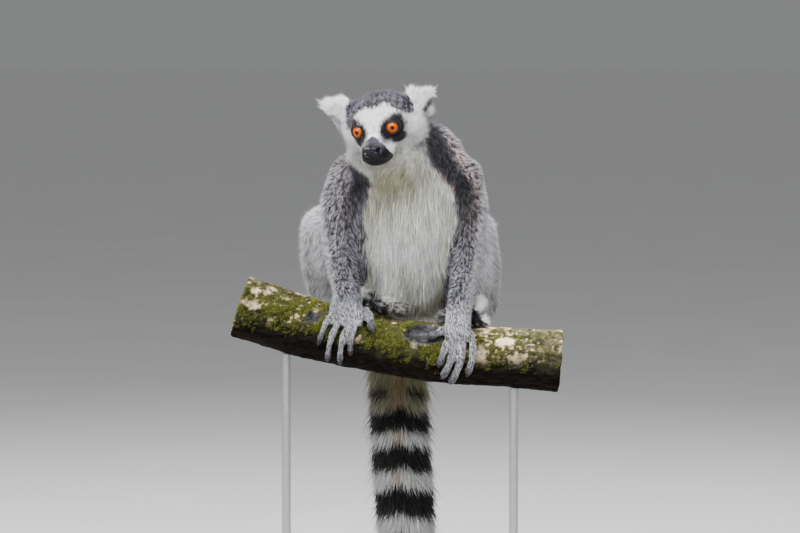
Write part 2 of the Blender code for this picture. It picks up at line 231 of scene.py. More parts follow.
def mix(a, b, share):
    """a where share is 0 and b where it is 1. Colours take one share for each of their rows."""
    a, b, share = np.asarray(a, float), np.asarray(b, float), np.asarray(share, float)
    if share.ndim and max(a.ndim, b.ndim) > share.ndim:
        share = share[:, None]
    return a + (b - a) * share


def layered(colours, *layers):
    """Colours with others laid over them in turn, each as (colour, share)."""
    for colour, share in layers:
        colours = mix(colours, colour, share)
    return colours


def flat(colour, count):
    """The same colour for each of a number of points."""
    return np.tile(np.array(colour, float), (count, 1))


def bell(values, width):
    """1 where values are 0, falling off on both sides."""
    return np.exp(-((values / width) ** 2))


def blotches(points, scale):
    """Soft random patches at the points, about -1 to 1."""
    return np.array([noise.noise(point) for point in (points * scale).tolist()]) * 1.6


def octaves(points, scale, count=4):
    """Layered noise at each point, about -1 to 1."""
    return np.array([noise.fractal(point, 0.9, 2.1, count) for point in (points * scale).tolist()])


def lay_flat(ways, normals):
    """The ways turned into the surface that has these normals."""
    return unit(ways - normals * (ways * normals).sum(1, keepdims=True))


def among(parts, *starts):
    """Whether each part's name starts with one of these words."""
    return np.logical_or.reduce([np.char.startswith(parts, start) for start in starts])


def by_part(parts, table):
    """Each part's row of a table that is keyed by the starts of part names. A later key wins."""
    values = np.zeros((len(parts), *np.shape(next(iter(table.values())))))
    for start, row in table.items():
        values[among(parts, start)] = row
    return values


def spread(values, edges, rounds, share=1.0):
    """Each vertex's value moved towards its neighbours' mean, a number of times."""
    values = np.array(values, float)
    columns = values.reshape(len(values), -1)
    count = np.bincount(edges.ravel(), minlength=len(values)).clip(1)
    for _ in range(rounds):
        for k in range(columns.shape[1]):
            total = np.bincount(edges[:, 0], columns[edges[:, 1], k], len(values))
            total += np.bincount(edges[:, 1], columns[edges[:, 0], k], len(values))
            columns[:, k] += share * (total / count - columns[:, k])
    return columns.reshape(values.shape)


# ---------------------------------------------------------------- places


def middle_of(node):
    low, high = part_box(node)
    return np.array((low + high) / 2)


def head_axes():
    """The head's own frame in the model: a 3 x 3 of its axes and the place of its origin, in metres."""
    tilt = Matrix.Rotation(HEAD_NOD, 3, "X") @ Matrix.Rotation(HEAD_LEAN, 3, "Y")
    turn = np.array(Matrix.Rotation(HEAD_TURN, 3, "Z") @ tilt)
    between_eyes = (middle_of("eye_left") + middle_of("eye_right")) / 2
    return turn, between_eyes - turn @ np.array((0, *EYE_PLACE[1:])) * MM


def in_head(points):
    """Points of the model in the head's frame, in millimetres."""
    return (points - HEAD_MIDDLE) @ HEAD_TO_MODEL / MM


def from_head(points):
    return np.asarray(points, float) @ HEAD_TO_MODEL.T * MM + HEAD_MIDDLE


def from_seat(points):
    """Points of the model in millimetres from the seat."""
    return (points - SEAT) / MM


def both_sides(place):
    return [np.array((sign * place[0], *place[1:]), float) for sign in (1, -1)]


def along_path(points, path):
    """The distance of each point from a path through the given points."""
    nearest = np.full(len(points), np.inf)
    for a, b in zip(path, path[1:]):
        span = b - a
        share = np.clip((points - a) @ span / (span @ span), 0, 1)
        nearest = np.minimum(nearest, np.linalg.norm(points - (a + share[:, None] * span), axis=1))
    return nearest


def off_axis(points, height):
    """How far each point is from the branch's middle line, in metres."""
    return np.hypot(points[:, 1] - SEAT[1], points[:, 2] - height(points[:, 0]))


def perch_axis():
    """Smooth fits of the branch's middle height and radius along X, in metres."""
    points = points_of(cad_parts["perch_branch"].data)
    height = np.polynomial.Polynomial.fit(points[:, 0], points[:, 2], 4)
    away = off_axis(points, height)
    rim = away > 0.02
    return height, np.polynomial.Polynomial.fit(points[rim, 0], away[rim], 3)


def off_bark(points):
    """How far each point is from the bark, in millimetres."""
    height, radius = PERCH_AXIS
    return (off_axis(points, height) - radius(points[:, 0])) / MM


def on_branch(x, degrees, lift):
    """A place on the branch in metres, and the way out of the bark there."""
    height, radius = PERCH_AXIS
    slope = height.deriv()(x * MM)
    up = unit(np.array((-slope, 0, 1)))
    angle = math.radians(degrees)
    out = np.array((0, -math.sin(angle), 0)) + up * math.cos(angle)
    return np.array((x * MM, SEAT[1], height(x * MM))) + out * (radius(x * MM) + lift * MM), out


# ---------------------------------------------------------------- meshes


def read(items, field, width, kind=np.float64):
    values = np.empty(len(items) * width, kind)
    items.foreach_get(field, values)
    return values.reshape(-1, width)


def points_of(mesh):
    return read(mesh.vertices, "co", 3)


def normals_of(mesh):
    return read(mesh.vertices, "normal", 3)


def edges_of(mesh):
    return read(mesh.edges, "vertices", 2, np.int64)


def triangles_of(mesh):
    mesh.calc_loop_triangles()
    return read(mesh.loop_triangles, "vertices", 3, np.int64)


def place_points(mesh, points):
    mesh.vertices.foreach_set("co", points.astype(np.float32).ravel())
    mesh.update()


def select_only(*things):
    bpy.ops.object.select_all(action="DESELECT")
    for thing in things:
        thing.select_set(True)
    bpy.context.view_layer.objects.active = things[0]


def apply(thing, kind, **settings):
    """Adds a modifier with these settings and applies it."""
    change = thing.modifiers.new(kind.lower(), kind)
    for name, value in settings.items():
        setattr(change, name, value)
    select_only(thing)
    bpy.ops.object.modifier_apply(modifier=change.name)


def add_object(name, data):
    thing = bpy.data.objects.new(name, data)
    bpy.context.collection.objects.link(thing)
    return thing


def add_sphere(name, segments, rings, **place):
    bpy.ops.object.select_all(action="DESELECT")
    bpy.ops.mesh.primitive_uv_sphere_add(segments=segments, ring_count=rings, **place)
    ball = bpy.context.active_object
    ball.name = name
    return ball


@contextlib.contextmanager
def editing(mesh):
    """The mesh opened for editing, and written back at the end."""
    shape = bmesh.new()
    shape.from_mesh(mesh)
    yield shape
    shape.to_mesh(mesh)
    shape.free()


def ring_faces(rings, sides, first=0):
    """Triangles between rings of points that follow each other, from the point numbered first."""
    faces = []
    for row in range(rings - 1):
        for k in range(sides):
            a, b = first + row * sides + k, first + row * sides + (k + 1) % sides
            faces += [(a, b, b + sides), (a, b + sides, a + sides)]
    return faces


def mesh_object(name, points, faces):
    """An object of triangles, given as arrays."""
    mesh = bpy.data.meshes.new(name)
    mesh.vertices.add(len(points))
    mesh.loops.add(faces.size)
    mesh.polygons.add(len(faces))
    mesh.loops.foreach_set("vertex_index", faces.astype(np.int32).ravel())
    mesh.polygons.foreach_set("loop_start", np.arange(len(faces), dtype=np.int32) * 3)
    place_points(mesh, points)
    mesh.shade_smooth()
    return add_object(name, mesh)


def paint(thing, colours):
    """Stores a colour for each vertex in the attribute that the coat's materials read."""
    layer = thing.data.color_attributes.new("colour", "FLOAT_COLOR", "POINT")
    layer.data.foreach_set("color", np.c_[colours, np.ones(len(colours))].astype(np.float32).ravel())


def use_materials(thing, *materials):
    thing.data.materials.clear()
    for material in materials:
        thing.data.materials.append(material)


def finish_piece(thing, slot, *materials):
    use_materials(thing, *materials)
    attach(thing, "root")
    return thing


# ---------------------------------------------------------------- materials

SOCKETS = {
    "roughness": "Roughness",
    "metallic": "Metallic",
    "specular": "Specular IOR Level",
    "sheen": "Sheen Weight",
    "sheen_roughness": "Sheen Roughness",
    "coat": "Coat Weight",
    "coat_roughness": "Coat Roughness",
    "coat_ior": "Coat IOR",
}


class Look:
    """The nodes of a material or the world, around the shader named shader. Values in a ramp may be greys."""

    def __init__(self, owner, shader):
        owner.use_nodes = True
        self.owner = owner
        self.tree = owner.node_tree
        self.shader = self.tree.nodes[shader]

    def add(self, kind, source=None, socket="Vector", **values):
        """A node that source feeds, with values set on its inputs."""
        node = self.tree.nodes.new(kind)
        for label, value in values.items():
            node.inputs[label].default_value = value
        if source is not None:
            self.tree.links.new(source, node.inputs[socket])
        return node

    def feed(self, **sources):
        """Links sources to the shader's inputs."""
        for label, source in sources.items():
            self.tree.links.new(source, self.shader.inputs[label.replace("_", " ")])

    def place(self, kind="Object"):
        return self.add("ShaderNodeTexCoord").outputs[kind]

    def stored(self, name="colour", output="Color"):
        node = self.add("ShaderNodeAttribute")
        node.attribute_name = name
        return node.outputs[output]

    def noise(self, source, scale, detail=3.0, roughness=0.5, stretch=None):
        """Noise over the source's coordinates, stretched by a Mapping node where stretch is given."""
        if stretch:
            source = self.add("ShaderNodeMapping", source, Scale=stretch).outputs["Vector"]
        values = {"Scale": scale, "Detail": detail, "Roughness": roughness}
        return self.add("ShaderNodeTexNoise", source, **values).outputs["Fac"]

    def ramp(self, value, *stops):
        """A colour ramp over a value, as (position, colour) or (position, grey)."""
        node = self.add("ShaderNodeValToRGB", value, "Fac")
        elements = node.color_ramp.elements
        for k, (position, colour) in enumerate(stops):
            element = elements[k] if k < 2 else elements.new(position)
            element.position = position
            element.color = (*(colour if isinstance(colour, tuple) else (colour,) * 3), 1)
        return node.outputs["Color"]

    def times(self, a, b, share=1.0):
        """Colour a multiplied by colour b, to a share."""
        node = self.add("ShaderNodeMix")
        node.data_type = "RGBA"
        node.blend_type = "MULTIPLY"
        factor, first, second = (socket for socket in node.inputs if socket.enabled)
        factor.default_value = share
        self.tree.links.new(a, first)
        self.tree.links.new(b, second)
        return next(socket for socket in node.outputs if socket.enabled)

    def bump(self, height, strength, distance):
        node = self.add("ShaderNodeBump", height, "Height", Strength=strength, Distance=distance)
        self.feed(Normal=node.outputs["Normal"])


def new_look(name, **values):
    """The look of a new material. values are the same all over, so they are set on the shader's sockets."""
    look = Look(bpy.data.materials.new(name), "Principled BSDF")
    for label, value in values.items():
        look.shader.inputs[SOCKETS[label]].default_value = value
    return look


def make_fur_material():
    """Dry hair: the tufts' own colours, with a soft sheen and a fine unevenness along each hair."""
    look = new_look("fur", roughness=0.7, specular=0.15, sheen=0.16, sheen_roughness=0.4)
    shade = look.ramp(look.noise(look.place(), 900, 2), (0.25, 0.8), (0.75, 1.05))
    look.feed(Base_Color=look.times(look.stored(), shade))
    return look.owner


def make_skin_material():
    """Skin under the fur, and the bare skin of nose, lips and lids, which is pebbled and a little moist."""
    look = new_look("skin", specular=0.2)
    place = look.place()
    shade = look.ramp(look.noise(place, 260, 4), (0.3, (0.72, 0.72, 0.74)), (0.7, (1.12, 1.1, 1.08)))
    look.feed(Base_Color=look.times(look.stored(), shade))
    look.feed(Roughness=look.ramp(look.stored("gloss", "Fac"), (0, 0.75), (1, 0.24)))
    look.bump(look.add("ShaderNodeTexVoronoi", place, Scale=1500).outputs["Distance"], 0.35, 0.0003)
    return look.owner


def make_eye_material():
    """An eyeball under a clear coat: black pupil, orange iris with fine spokes, dark rim, brown white."""
    look = new_look("eyeball", roughness=0.4, specular=0, coat=0.6, coat_roughness=0.02, coat_ior=1.48)
    split = look.add("ShaderNodeSeparateXYZ", look.place("UV"))
    rings = look.ramp(
        split.outputs["Y"],
        (0.655, (0.01, 0.008, 0.006)),
        (0.69, (0.02, 0.006, 0.002)),
        (0.715, (0.13, 0.014, 0.0)),
        (0.79, (0.30, 0.054, 0.0)),
        (0.88, (0.38, 0.086, 0.0)),
        (0.926, (0.20, 0.032, 0.0)),
        (0.936, 0.0006),
    )
    spokes = look.noise(look.place("UV"), 1.0, 3, 0.6, (90, 7, 1))
    streaks = look.ramp(spokes, (0.3, (0.5, 0.4, 0.3)), (0.62, (1.15, 1.15, 1.0)))
    look.feed(Base_Color=look.times(rings, streaks, 0.8))
    return look.owner


def make_nail_material():
    look = new_look("nail", roughness=0.5, specular=0.25)
    streaks = look.noise(look.place(), 400)
    look.feed(Base_Color=look.ramp(streaks, (0.3, (0.006, 0.005, 0.005)), (0.75, (0.022, 0.019, 0.018))))
    return look.owner


def make_bark_material():
    """Bark in the branch's stored colours, broken up by fine noise, with cracks along it."""
    look = new_look("bark", roughness=0.9, specular=0.08)
    place = look.place()
    mottle = look.noise(place, 160, 6, 0.65)
    shade = look.ramp(mottle, (0.3, (0.45, 0.43, 0.42)), (0.52, 1), (0.75, (1.6, 1.55, 1.5)))
    grain = look.ramp(look.noise(place, 700, 3, 0.7), (0.3, 0.6), (0.7, 1.25))
    look.feed(Base_Color=look.times(look.times(look.stored(), shade), grain, 0.8))
    look.bump(look.noise(place, 1.0, 8, 0.7, (110, 420, 420)), 0.8, 0.0018)
    return look.owner


def make_moss_material():
    look = new_look("moss", roughness=0.8, specular=0.15)
    look.feed(Base_Color=look.stored())
    return look.owner


def make_sawn_material(centre):
    """A sawn end: growth rings round the branch's middle, darker heartwood and radial checks."""
    look = new_look("sawn_wood", roughness=0.75)
    to_middle = (0, -centre[1], -centre[2])
    place = look.add("ShaderNodeMapping", look.place(), Location=to_middle).outputs["Vector"]
    wave = look.add("ShaderNodeTexWave", place, Scale=95, Distortion=2.5, Detail=3)
    wave.wave_type = "RINGS"
    wave.rings_direction = "X"
    rings = look.ramp(wave.outputs["Fac"], (0.1, (0.36, 0.24, 0.13)), (0.8, (0.56, 0.42, 0.26)))
    stain = look.ramp(look.noise(place, 60, 4), (0.35, (0.6, 0.55, 0.5)), (0.65, 1.05))
    look.feed(Base_Color=look.times(rings, stain))
    look.bump(wave.outputs["Fac"], 0.3, 0.0004)
    return look.owner


def make_base_material():
    """Dark stained hardwood under wax, its grain along the base."""
    look = new_look("stained_wood", roughness=0.5, coat=0.08, coat_roughness=0.3)
    place = look.place()
    grain = look.noise(place, 1.0, 8, 0.62, (9, 150, 150))
    pores = look.noise(place, 1.0, 3, 0.5, (60, 1500, 1500))
    colour = look.ramp(grain, (0.3, (0.028, 0.012, 0.006)), (0.7, (0.105, 0.048, 0.022)))
    look.feed(Base_Color=look.times(colour, look.ramp(pores, (0.3, (0.55, 0.5, 0.5)), (0.5, 1))))
    look.bump(pores, 0.25, 0.0003)
    return look.owner


def make_rod_material():
    """Satin steel, brushed round the rod."""
    look = new_look("satin_steel", metallic=1.0)
    lines = look.noise(look.place(), 1.0, 4, 0.6, (40, 40, 3000))
    look.feed(Base_Color=look.ramp(lines, (0.3, (0.42, 0.43, 0.44)), (0.7, (0.62, 0.62, 0.63))))
    look.feed(Roughness=look.ramp(lines, (0.2, 0.24), (0.8, 0.42)))
    return look.owner


def make_floor_material():
    look = new_look("studio_floor", roughness=0.9, specular=0.1)
    soft = look.noise(look.place(), 3, 2)
    look.feed(Base_Color=look.ramp(soft, (0.3, 0.50), (0.7, (0.52, 0.52, 0.515))))
    return look.owner


# ---------------------------------------------------------------- hands and feet


def digit_place(digit, share):
    """X and degrees round the branch at a share of the way along a digit."""
    x, degrees, end_x, end_degrees, _, bow = digit
    bowed = bow * math.sin(math.pi * share)
    return x + (end_x - x) * share + bowed, degrees + (end_degrees - degrees) * share


def digit_rows(digit):
    """Middles, half widths and half depths along a digit that lies on the bark, thicker at its joints."""
    rows, half = [], digit[4]
    for share in np.linspace(0, 1, 12):
        joint = 1 + 0.10 * math.cos(share * 4 * math.pi) - 0.16 * share
        arch = half * 0.5 * math.sin(math.pi * share) + 0.3
        middle, out = on_branch(*digit_place(digit, share), half * joint + arch)
        rows.append((middle, out, half * joint * MM, half * joint * 0.95 * MM))
    return rows


def knuckles(name):
    """The last row of a hand's palm, over the roots of its fingers."""
    if name.startswith("foot"):
        return ()
    fingers = DIGITS[name][1:]
    roots = [on_branch(*digit_place(digit, KNUCKLE_SHARE), digit[4] + 1)[0] for digit in fingers]
    roots = from_seat(np.array(roots))
    return ((*roots.mean(0), np.ptp(roots[:, 0]) / 2 + 1.0, 3.4),)


def palm_rows(rows):
    """Middles, ways out, half widths and half depths along a palm, smooth between its rows."""
    rows = np.array(rows, float)
    at = np.linspace(0, len(rows) - 1, 10)
    smooth = np.stack([np.interp(at, range(len(rows)), column) for column in rows.T], 1)
    middles = SEAT + smooth[:, :3] * MM
    along = unit(np.gradient(middles, axis=0))
    out = unit(np.cross((1.0, 0, 0), along))
    return [(m, o, w * MM, d * MM) for m, o, w, d in zip(middles, out, smooth[:, 3], smooth[:, 4])]


def tube(rows, sides=12):
    """A closed tube through rows of middle, way out, half width and half depth, with rounded ends."""
    along = unit(np.gradient(np.array([row[0] for row in rows]), axis=0))
    loops = []
    for ahead, (middle, out, half, deep) in zip(along, rows):
        wide = unit(np.cross(out, ahead))
        loops.append((middle, wide, np.cross(ahead, wide), half, deep))
    for end, way in ((0, -1), (-1, 1)):
        middle, wide, high, half, deep = loops[end]
        reach = 0.9 * min(half, deep)
        for forward, narrow in TUBE_END:
            centre = middle + along[end] * (way * reach * forward)
            loops.insert(0 if way < 0 else len(loops), (centre, wide, high, half * narrow, deep * narrow))
    points = [
        middle + wide * (half * math.cos(turn)) + high * (deep * math.sin(turn))
        for middle, wide, high, half, deep in loops
        for turn in np.arange(sides) * 2 * math.pi / sides
    ]
    return np.array(points), np.array(ring_faces(len(loops), sides))


# ---------------------------------------------------------------- skin


def flesh_nodes():
    return {name: node for name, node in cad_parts.items() if name.startswith(FLESH)}


def flesh_tree():
    """A search tree over the flesh solids, and the name of the solid that each of its faces belongs to."""
    points, faces, owner = [], [], []
    for name, node in flesh_nodes().items():
        faces += [tuple(face) for face in (triangles_of(node.data) + len(points)).tolist()]
        owner += [name] * (len(faces) - len(owner))
        points += [tuple(point) for point in points_of(node.data).tolist()]
    return BVHTree.FromPolygons(points, faces), owner


def parts_at(points):
    """The name of the nearest flesh solid at each point."""
    tree, owner = FLESH_TREE
    return np.array([owner[tree.find_nearest(point)[2]] for point in points.tolist()])


def joined_flesh():
    """One object of the swollen flesh solids and the hands and feet, for a remesh to make one surface of."""
    copies = []
    for name, node in flesh_nodes().items():
        if name in PALMS:
            rows = [palm_rows(PALMS[name] + knuckles(name))] + [digit_rows(digit) for digit in DIGITS[name]]
            for number, row in enumerate(rows):
                copies.append(mesh_object(f"flesh_{name}_{number}", *tube(row, 20 if number == 0 else 12)))
            continue
        mesh = node.data.copy()
        with editing(mesh) as shape:
            bmesh.ops.remove_doubles(shape, verts=shape.verts, dist=WELD)
            shape.normal_update()
            for vertex in shape.verts:
                vertex.co += vertex.normal * SWELL * MM
        copies.append(add_object("flesh_" + name, mesh))
    select_only(*copies)
    bpy.ops.object.join()
    copies[0].name = "skin"
    return copies[0]


def keep_largest(thing):
    """Deletes every loose island but the largest."""
    with editing(thing.data) as shape:
        shape.verts.ensure_lookup_table()
        unseen, islands = set(range(len(shape.verts))), []
        while unseen:
            ahead = [shape.verts[unseen.pop()]]
            islands.append([ahead[0].index])
            while ahead:
                near = {vertex.index for edge in ahead.pop().link_edges for vertex in edge.verts} & unseen
                unseen -= near
                islands[-1] += near
                ahead += [shape.verts[k] for k in near]
        loose = [shape.verts[k] for island in sorted(islands, key=len)[:-1] for k in island]
        bmesh.ops.delete(shape, geom=loose, context="VERTS")


def thin_out(skin):
    """Fewer, larger faces where the coat hides the skin: all but the face, ears, hands and feet."""
    points = points_of(skin.data)
    parts = parts_at(points)
    fine = among(parts, "head") & (in_head(points)[:, 1] < 0)
    fine |= among(parts, "muzzle", "eye", "ear", "hand", "foot")
    group = skin.vertex_groups.new(name="coarse")
    group.add(np.flatnonzero(~fine).tolist(), 1.0, "REPLACE")
    apply(skin, "DECIMATE", ratio=KEPT_SHARE, vertex_group="coarse")
    skin.vertex_groups.clear()


def refine(skin, reach):
    """Halves the edges of the face's triangles forward of reach."""
    with editing(skin.data) as shape:
        points = in_head(np.array([vertex.co for vertex in shape.verts]))
        inside = (points[:, 1] < reach) & (abs(points[:, [0, 2]]) < 40).all(1)
        edges = [edge for edge in shape.edges if all(inside[vertex.index] for vertex in edge.verts)]
        bmesh.ops.subdivide_edges(shape, edges=edges, cuts=1, use_grid_fill=True)
        bmesh.ops.triangulate(shape, faces=shape.faces)


def coat_depth(points, parts):
    """How deep the skin lies under the coat's tips, in millimetres."""
    x, y, z = in_head(points).T
    face = mix(6, 2.2, ramp(y, -8, -22))
    face = mix(face, 3.5, ramp(z, 14, 24) * ramp(y, -2, -12))
    face = mix(face, 7, ramp(abs(x), 27, 36) * ramp(z, 2, -8))
    return np.where(among(parts, "head"), face, by_part(parts, DEPTH))


def shrink(skin, parts):
    """Moves the surface in from the coat's tips to the skin."""
    mesh, steps = skin.data, 4
    points, edges = points_of(mesh), edges_of(mesh)
    depth = spread(coat_depth(points, parts), edges, 12)
    normals = unit(spread(normals_of(mesh), edges, 2))
    share = mix(0.35, 0.05, among(parts, "hand", "foot"))[:, None]
    for _ in range(steps):
        points = points - normals * (depth[:, None] / steps * MM)
        points = mix(points, spread(points, edges, 1), share)
        place_points(mesh, points)
        normals = unit(spread(normals_of(mesh), edges, 2))


def soften_seams(skin, parts):
    """Smooths the skin along the seams between the parts that the coat covers."""
    points, edges = points_of(skin.data), edges_of(skin.data)
    seam = np.zeros(len(points))
    seam[edges[parts[edges[:, 0]] != parts[edges[:, 1]]].ravel()] = 1
    seam *= ~among(parts, "muzzle", "eye", "hand", "foot")
    seam *= ~(among(parts, "head") & (in_head(points)[:, 1] < -15))
    share = np.clip(spread(seam, edges, 8) * 3, 0, 1)
    place_points(skin.data, mix(points, spread(points, edges, 22), share))


def ear_axes(sign):
    """Unit vectors along an ear to its tip, across it and out of its front."""
    axis = unit(np.array((sign * EAR_AXIS[0], *EAR_AXIS[1:])))
    face = unit(np.array((sign * EAR_FACE[0], *EAR_FACE[1:])))
    return axis, unit(np.cross(axis, face)) * sign, face


def ear_place(points, sign):
    """Along, across and in front of the ear's middle plane, in millimetres."""
    local = points - np.array((sign * EAR_ROOT[0], *EAR_ROOT[1:]))
    return [local @ axis for axis in ear_axes(sign)]


def ear_slit(local, name, sign):
    """How far points are from the slit of an ear, where its painted shadow lies, in millimetres, and whether
    they are on its front.
    """
    along, across, front = ear_place(local, sign)
    path = np.array([(*place, 0.0) for place in EAR_SLITS[name]])
    return along_path(np.c_[along, across, np.zeros(len(local))], path), (front > -2) & (front < 14)


def narrow_ears(skin, parts):
    """Draws the ears in from their tips and sides, by the length of the fringe round them."""
    points = in_head(points_of(skin.data))
    for name, sign in EARS:
        along, across, _ = ear_place(points, sign)
        axis, sideways, _ = ear_axes(sign)
        back = EAR_FRINGE[name] * ramp(along, 6, 37)
        inward = np.where(across > 0, 0.2, 0.1) * across * ramp(along, -3, 9)
        moved = axis * back[:, None] + sideways * inward[:, None]
        points = points - moved * (parts == name)[:, None]
    place_points(skin.data, from_head(points))


def sculpt_ears(points, parts):
    """Hollows the front of each ear a little."""
    for name, sign in EARS:
        along, across, front = ear_place(points, sign)
        cup = ramp(along, 26, 18) * ramp(along, -4, 2) * ramp(abs(across - 1), 11, 6) * ramp(front, 0, 3)
        points = points - ear_axes(sign)[2] * (2.2 * cup * (parts == name))[:, None]
    return points


def off_gaze(out, gaze):
    """The angle in degrees between ways out of an eye and its gaze."""
    return np.degrees(np.arccos(np.clip(unit(out) @ unit(gaze), -1, 1)))


def sculpt_eyes(points):
    """Draws the skin over each eyeball as lids, and in behind the eyeball inside the lids' opening."""
    for centre, gaze in zip(both_sides(EYE_PLACE), both_sides(GAZE)):
        out = points - centre
        reach, angle = np.linalg.norm(out, axis=1), off_gaze(out, gaze)
        lid = mix(EYE_RADIUS - 1.6, LID_RADIUS, ramp(angle, LID_ANGLE - 1, LID_ANGLE + 7))
        target = np.where(angle < LID_ANGLE + 2, lid, np.maximum(reach, lid))
        near = ramp(reach, LID_RADIUS + 5, LID_RADIUS + 2.5) * ramp(angle, 100, 80)
        points = centre + unit(out) * mix(reach, target, near)[:, None]
    return points


def make_lids():
    """A rim of bare skin round each eye, as rings about the gaze."""
    sides = 56
    points, faces = [], []
    for centre, gaze in zip(both_sides(EYE_PLACE), both_sides(GAZE)):
        ahead = unit(gaze)
        right = unit(np.cross(ahead, (0, 0, 1)))
        up = np.cross(right, ahead)
        faces += ring_faces(len(LID_RINGS), sides, len(points))
        for opening, radius in LID_RINGS:
            for turn in np.arange(sides) * 2 * math.pi / sides:
                tilt = math.radians(LID_ANGLE * (1 - 0.09 * math.sin(turn) ** 2) + opening)
                out = right * math.cos(turn) + up * math.sin(turn)
                points.append(centre + (ahead * math.cos(tilt) + out * math.sin(tilt)) * radius)
    return from_head(points), np.array(faces)


def nostrils_near(local):
    """How far points of the head are from the nearer nostril, in millimetres."""
    mirrored = np.c_[abs(local[:, 0]), local[:, 1:]]
    return along_path(mirrored, np.array([NOSTRIL, np.add(NOSTRIL, NOSTRIL_TAIL)]))


def sculpt_muzzle(points, normals):
    """Nose pad, nostrils, the groove down to the lip, the mouth and the set-back lower jaw."""
    x, y, z = points.T
    pad = np.linalg.norm((points - (0, -58, -12.5)) / (8.8, 6, 6.8), axis=1)
    push = 1.3 * ramp(pad, 1.0, 0.7) - 0.7 * bell(pad - 1.15, 0.14)
    for sign in (1, -1):
        side = np.array((sign, 1, 1))
        nostril = np.array(NOSTRIL) * side
        comma = np.array([nostril, nostril + np.array(NOSTRIL_TAIL) * side])
        push -= 3.4 * bell(along_path(points, comma), 1.45)
        wing = np.linalg.norm((points - nostril - np.array((1.0, 1.0, 3.4)) * side) / (3.2, 3.2, 2.0), axis=1)
        push += 0.7 * ramp(wing, 1.2, 0.4)
        push -= 1.5 * bell(along_path(points, np.array(MOUTH) * side), 1.0)
    groove = np.array(((0, -60, -13), (0, -59, -22)))
    push -= 1.1 * bell(along_path(points, groove), 0.9)
    push -= 1.2 * ramp(z, -22.5, -25) * ramp(y, -30, -46)
    return points + normals * push[:, None]


def make_skin():
    """The skin and the names of the parts that its vertices belong to."""
    skin = joined_flesh()
    apply(skin, "REMESH", mode="VOXEL", voxel_size=VOXEL * MM)
    keep_largest(skin)
    mesh = skin.data
    points = points_of(mesh)
    smooth = spread(points, edges_of(mesh), 10, 0.5)
    place_points(mesh, mix(smooth, points, 0.72 * among(parts_at(points), "hand", "foot")))
    thin_out(skin)
    parts = parts_at(points_of(mesh))
    shrink(skin, parts)
    soften_seams(skin, parts)
    narrow_ears(skin, parts)
    refine(skin, -24)
    refine(skin, -43)
    points, edges = points_of(mesh), edges_of(mesh)
    parts = parts_at(points)
    face = among(parts, "muzzle", "eye", "head") & (in_head(points)[:, 1] < -20)
    place_points(mesh, mix(points, spread(points, edges, 4, 0.5), face))
    local, normals = in_head(points_of(mesh)), normals_of(mesh) @ HEAD_TO_MODEL
    local = sculpt_muzzle(sculpt_ears(local, parts), normals)
    place_points(mesh, from_head(sculpt_eyes(sculpt_eyes(local))))
    return skin, parts


# ---------------------------------------------------------------- markings


def face_masks(points):
    """Shares, from 0 to 1, of the head's markings: grey cap, black eye patches and black muzzle."""
    x, y, z = in_head(points).T
    across = abs(x)
    left = np.interp(across, (0, 7, 12, 19, 27, 33, 38), (26.5, 28, 29, 26, 19, 12, 10))
    right = np.interp(across, (0, 7, 12, 19, 26, 32, 38), (26.5, 27.5, 27.5, 24, 17, 6, 0))
    edge = np.where(x > 0, left, right) - 40 * ramp(y, 0, 28) - 30 * ramp(y, 22, 34)
    ragged = 1.6 * blotches(points, 260) + 1.2 * blotches(points, 520)
    side = ramp(across + ragged, 42, 37)
    cap = ramp(z + ragged, edge - 1.5, edge + 1.5) * ramp(y, -40, -30) * mix(1, side, ramp(y, 12, 6))
    patch = np.hypot((across - 19.7) / np.where(x > 0, 11.6, 12.8), (z - 4) / 12.6)
    patch = np.minimum(patch, np.hypot(across - 23.5, z - 11.8) / 6.2)
    patch = np.minimum(patch, np.hypot(across - 23.5, z + 8) / 6.6)
    patch = ramp(patch + 0.045 * ragged, 1.34, 0.80) * ramp(y, 4, 0)
    round_muzzle = np.degrees(np.arctan2(across, z + 15.5))
    back = np.interp(round_muzzle, (0, 41, 75, 101, 121, 150, 180), (-41.5, -47.5, -45.5, -41, -31, -36, -40))
    muzzle = ramp(y + 0.4 * ragged, back + 1.2, back - 1.2)
    return cap, patch, muzzle


def shaded_cream_share(points):
    """Share of cream in the white of the throat and upper chest, and at the belly's sides and foot: cream
    fur, darkened as painted shade under the chin and beside and below the belly.
    """
    x, y, z = from_seat(points).T
    streaks = blotches(points * (1, 1, 0.3), 60)
    below = np.interp(z, (0, 160, 161, 300), (46, 46, 27, 27))
    share = 0.8 * np.exp(-(((x + 2) / 38) ** 2) - ((z - 160) / below) ** 2)
    share = share + 0.3 * ramp(z, 50, 0) + 0.28 * ramp(streaks, 0, 0.6) * ramp(z, 200, 170)
    return np.clip(share + 0.35 * ramp(abs(x - 8), 25, 45) * ramp(z, 150, 120), 0, 0.85)


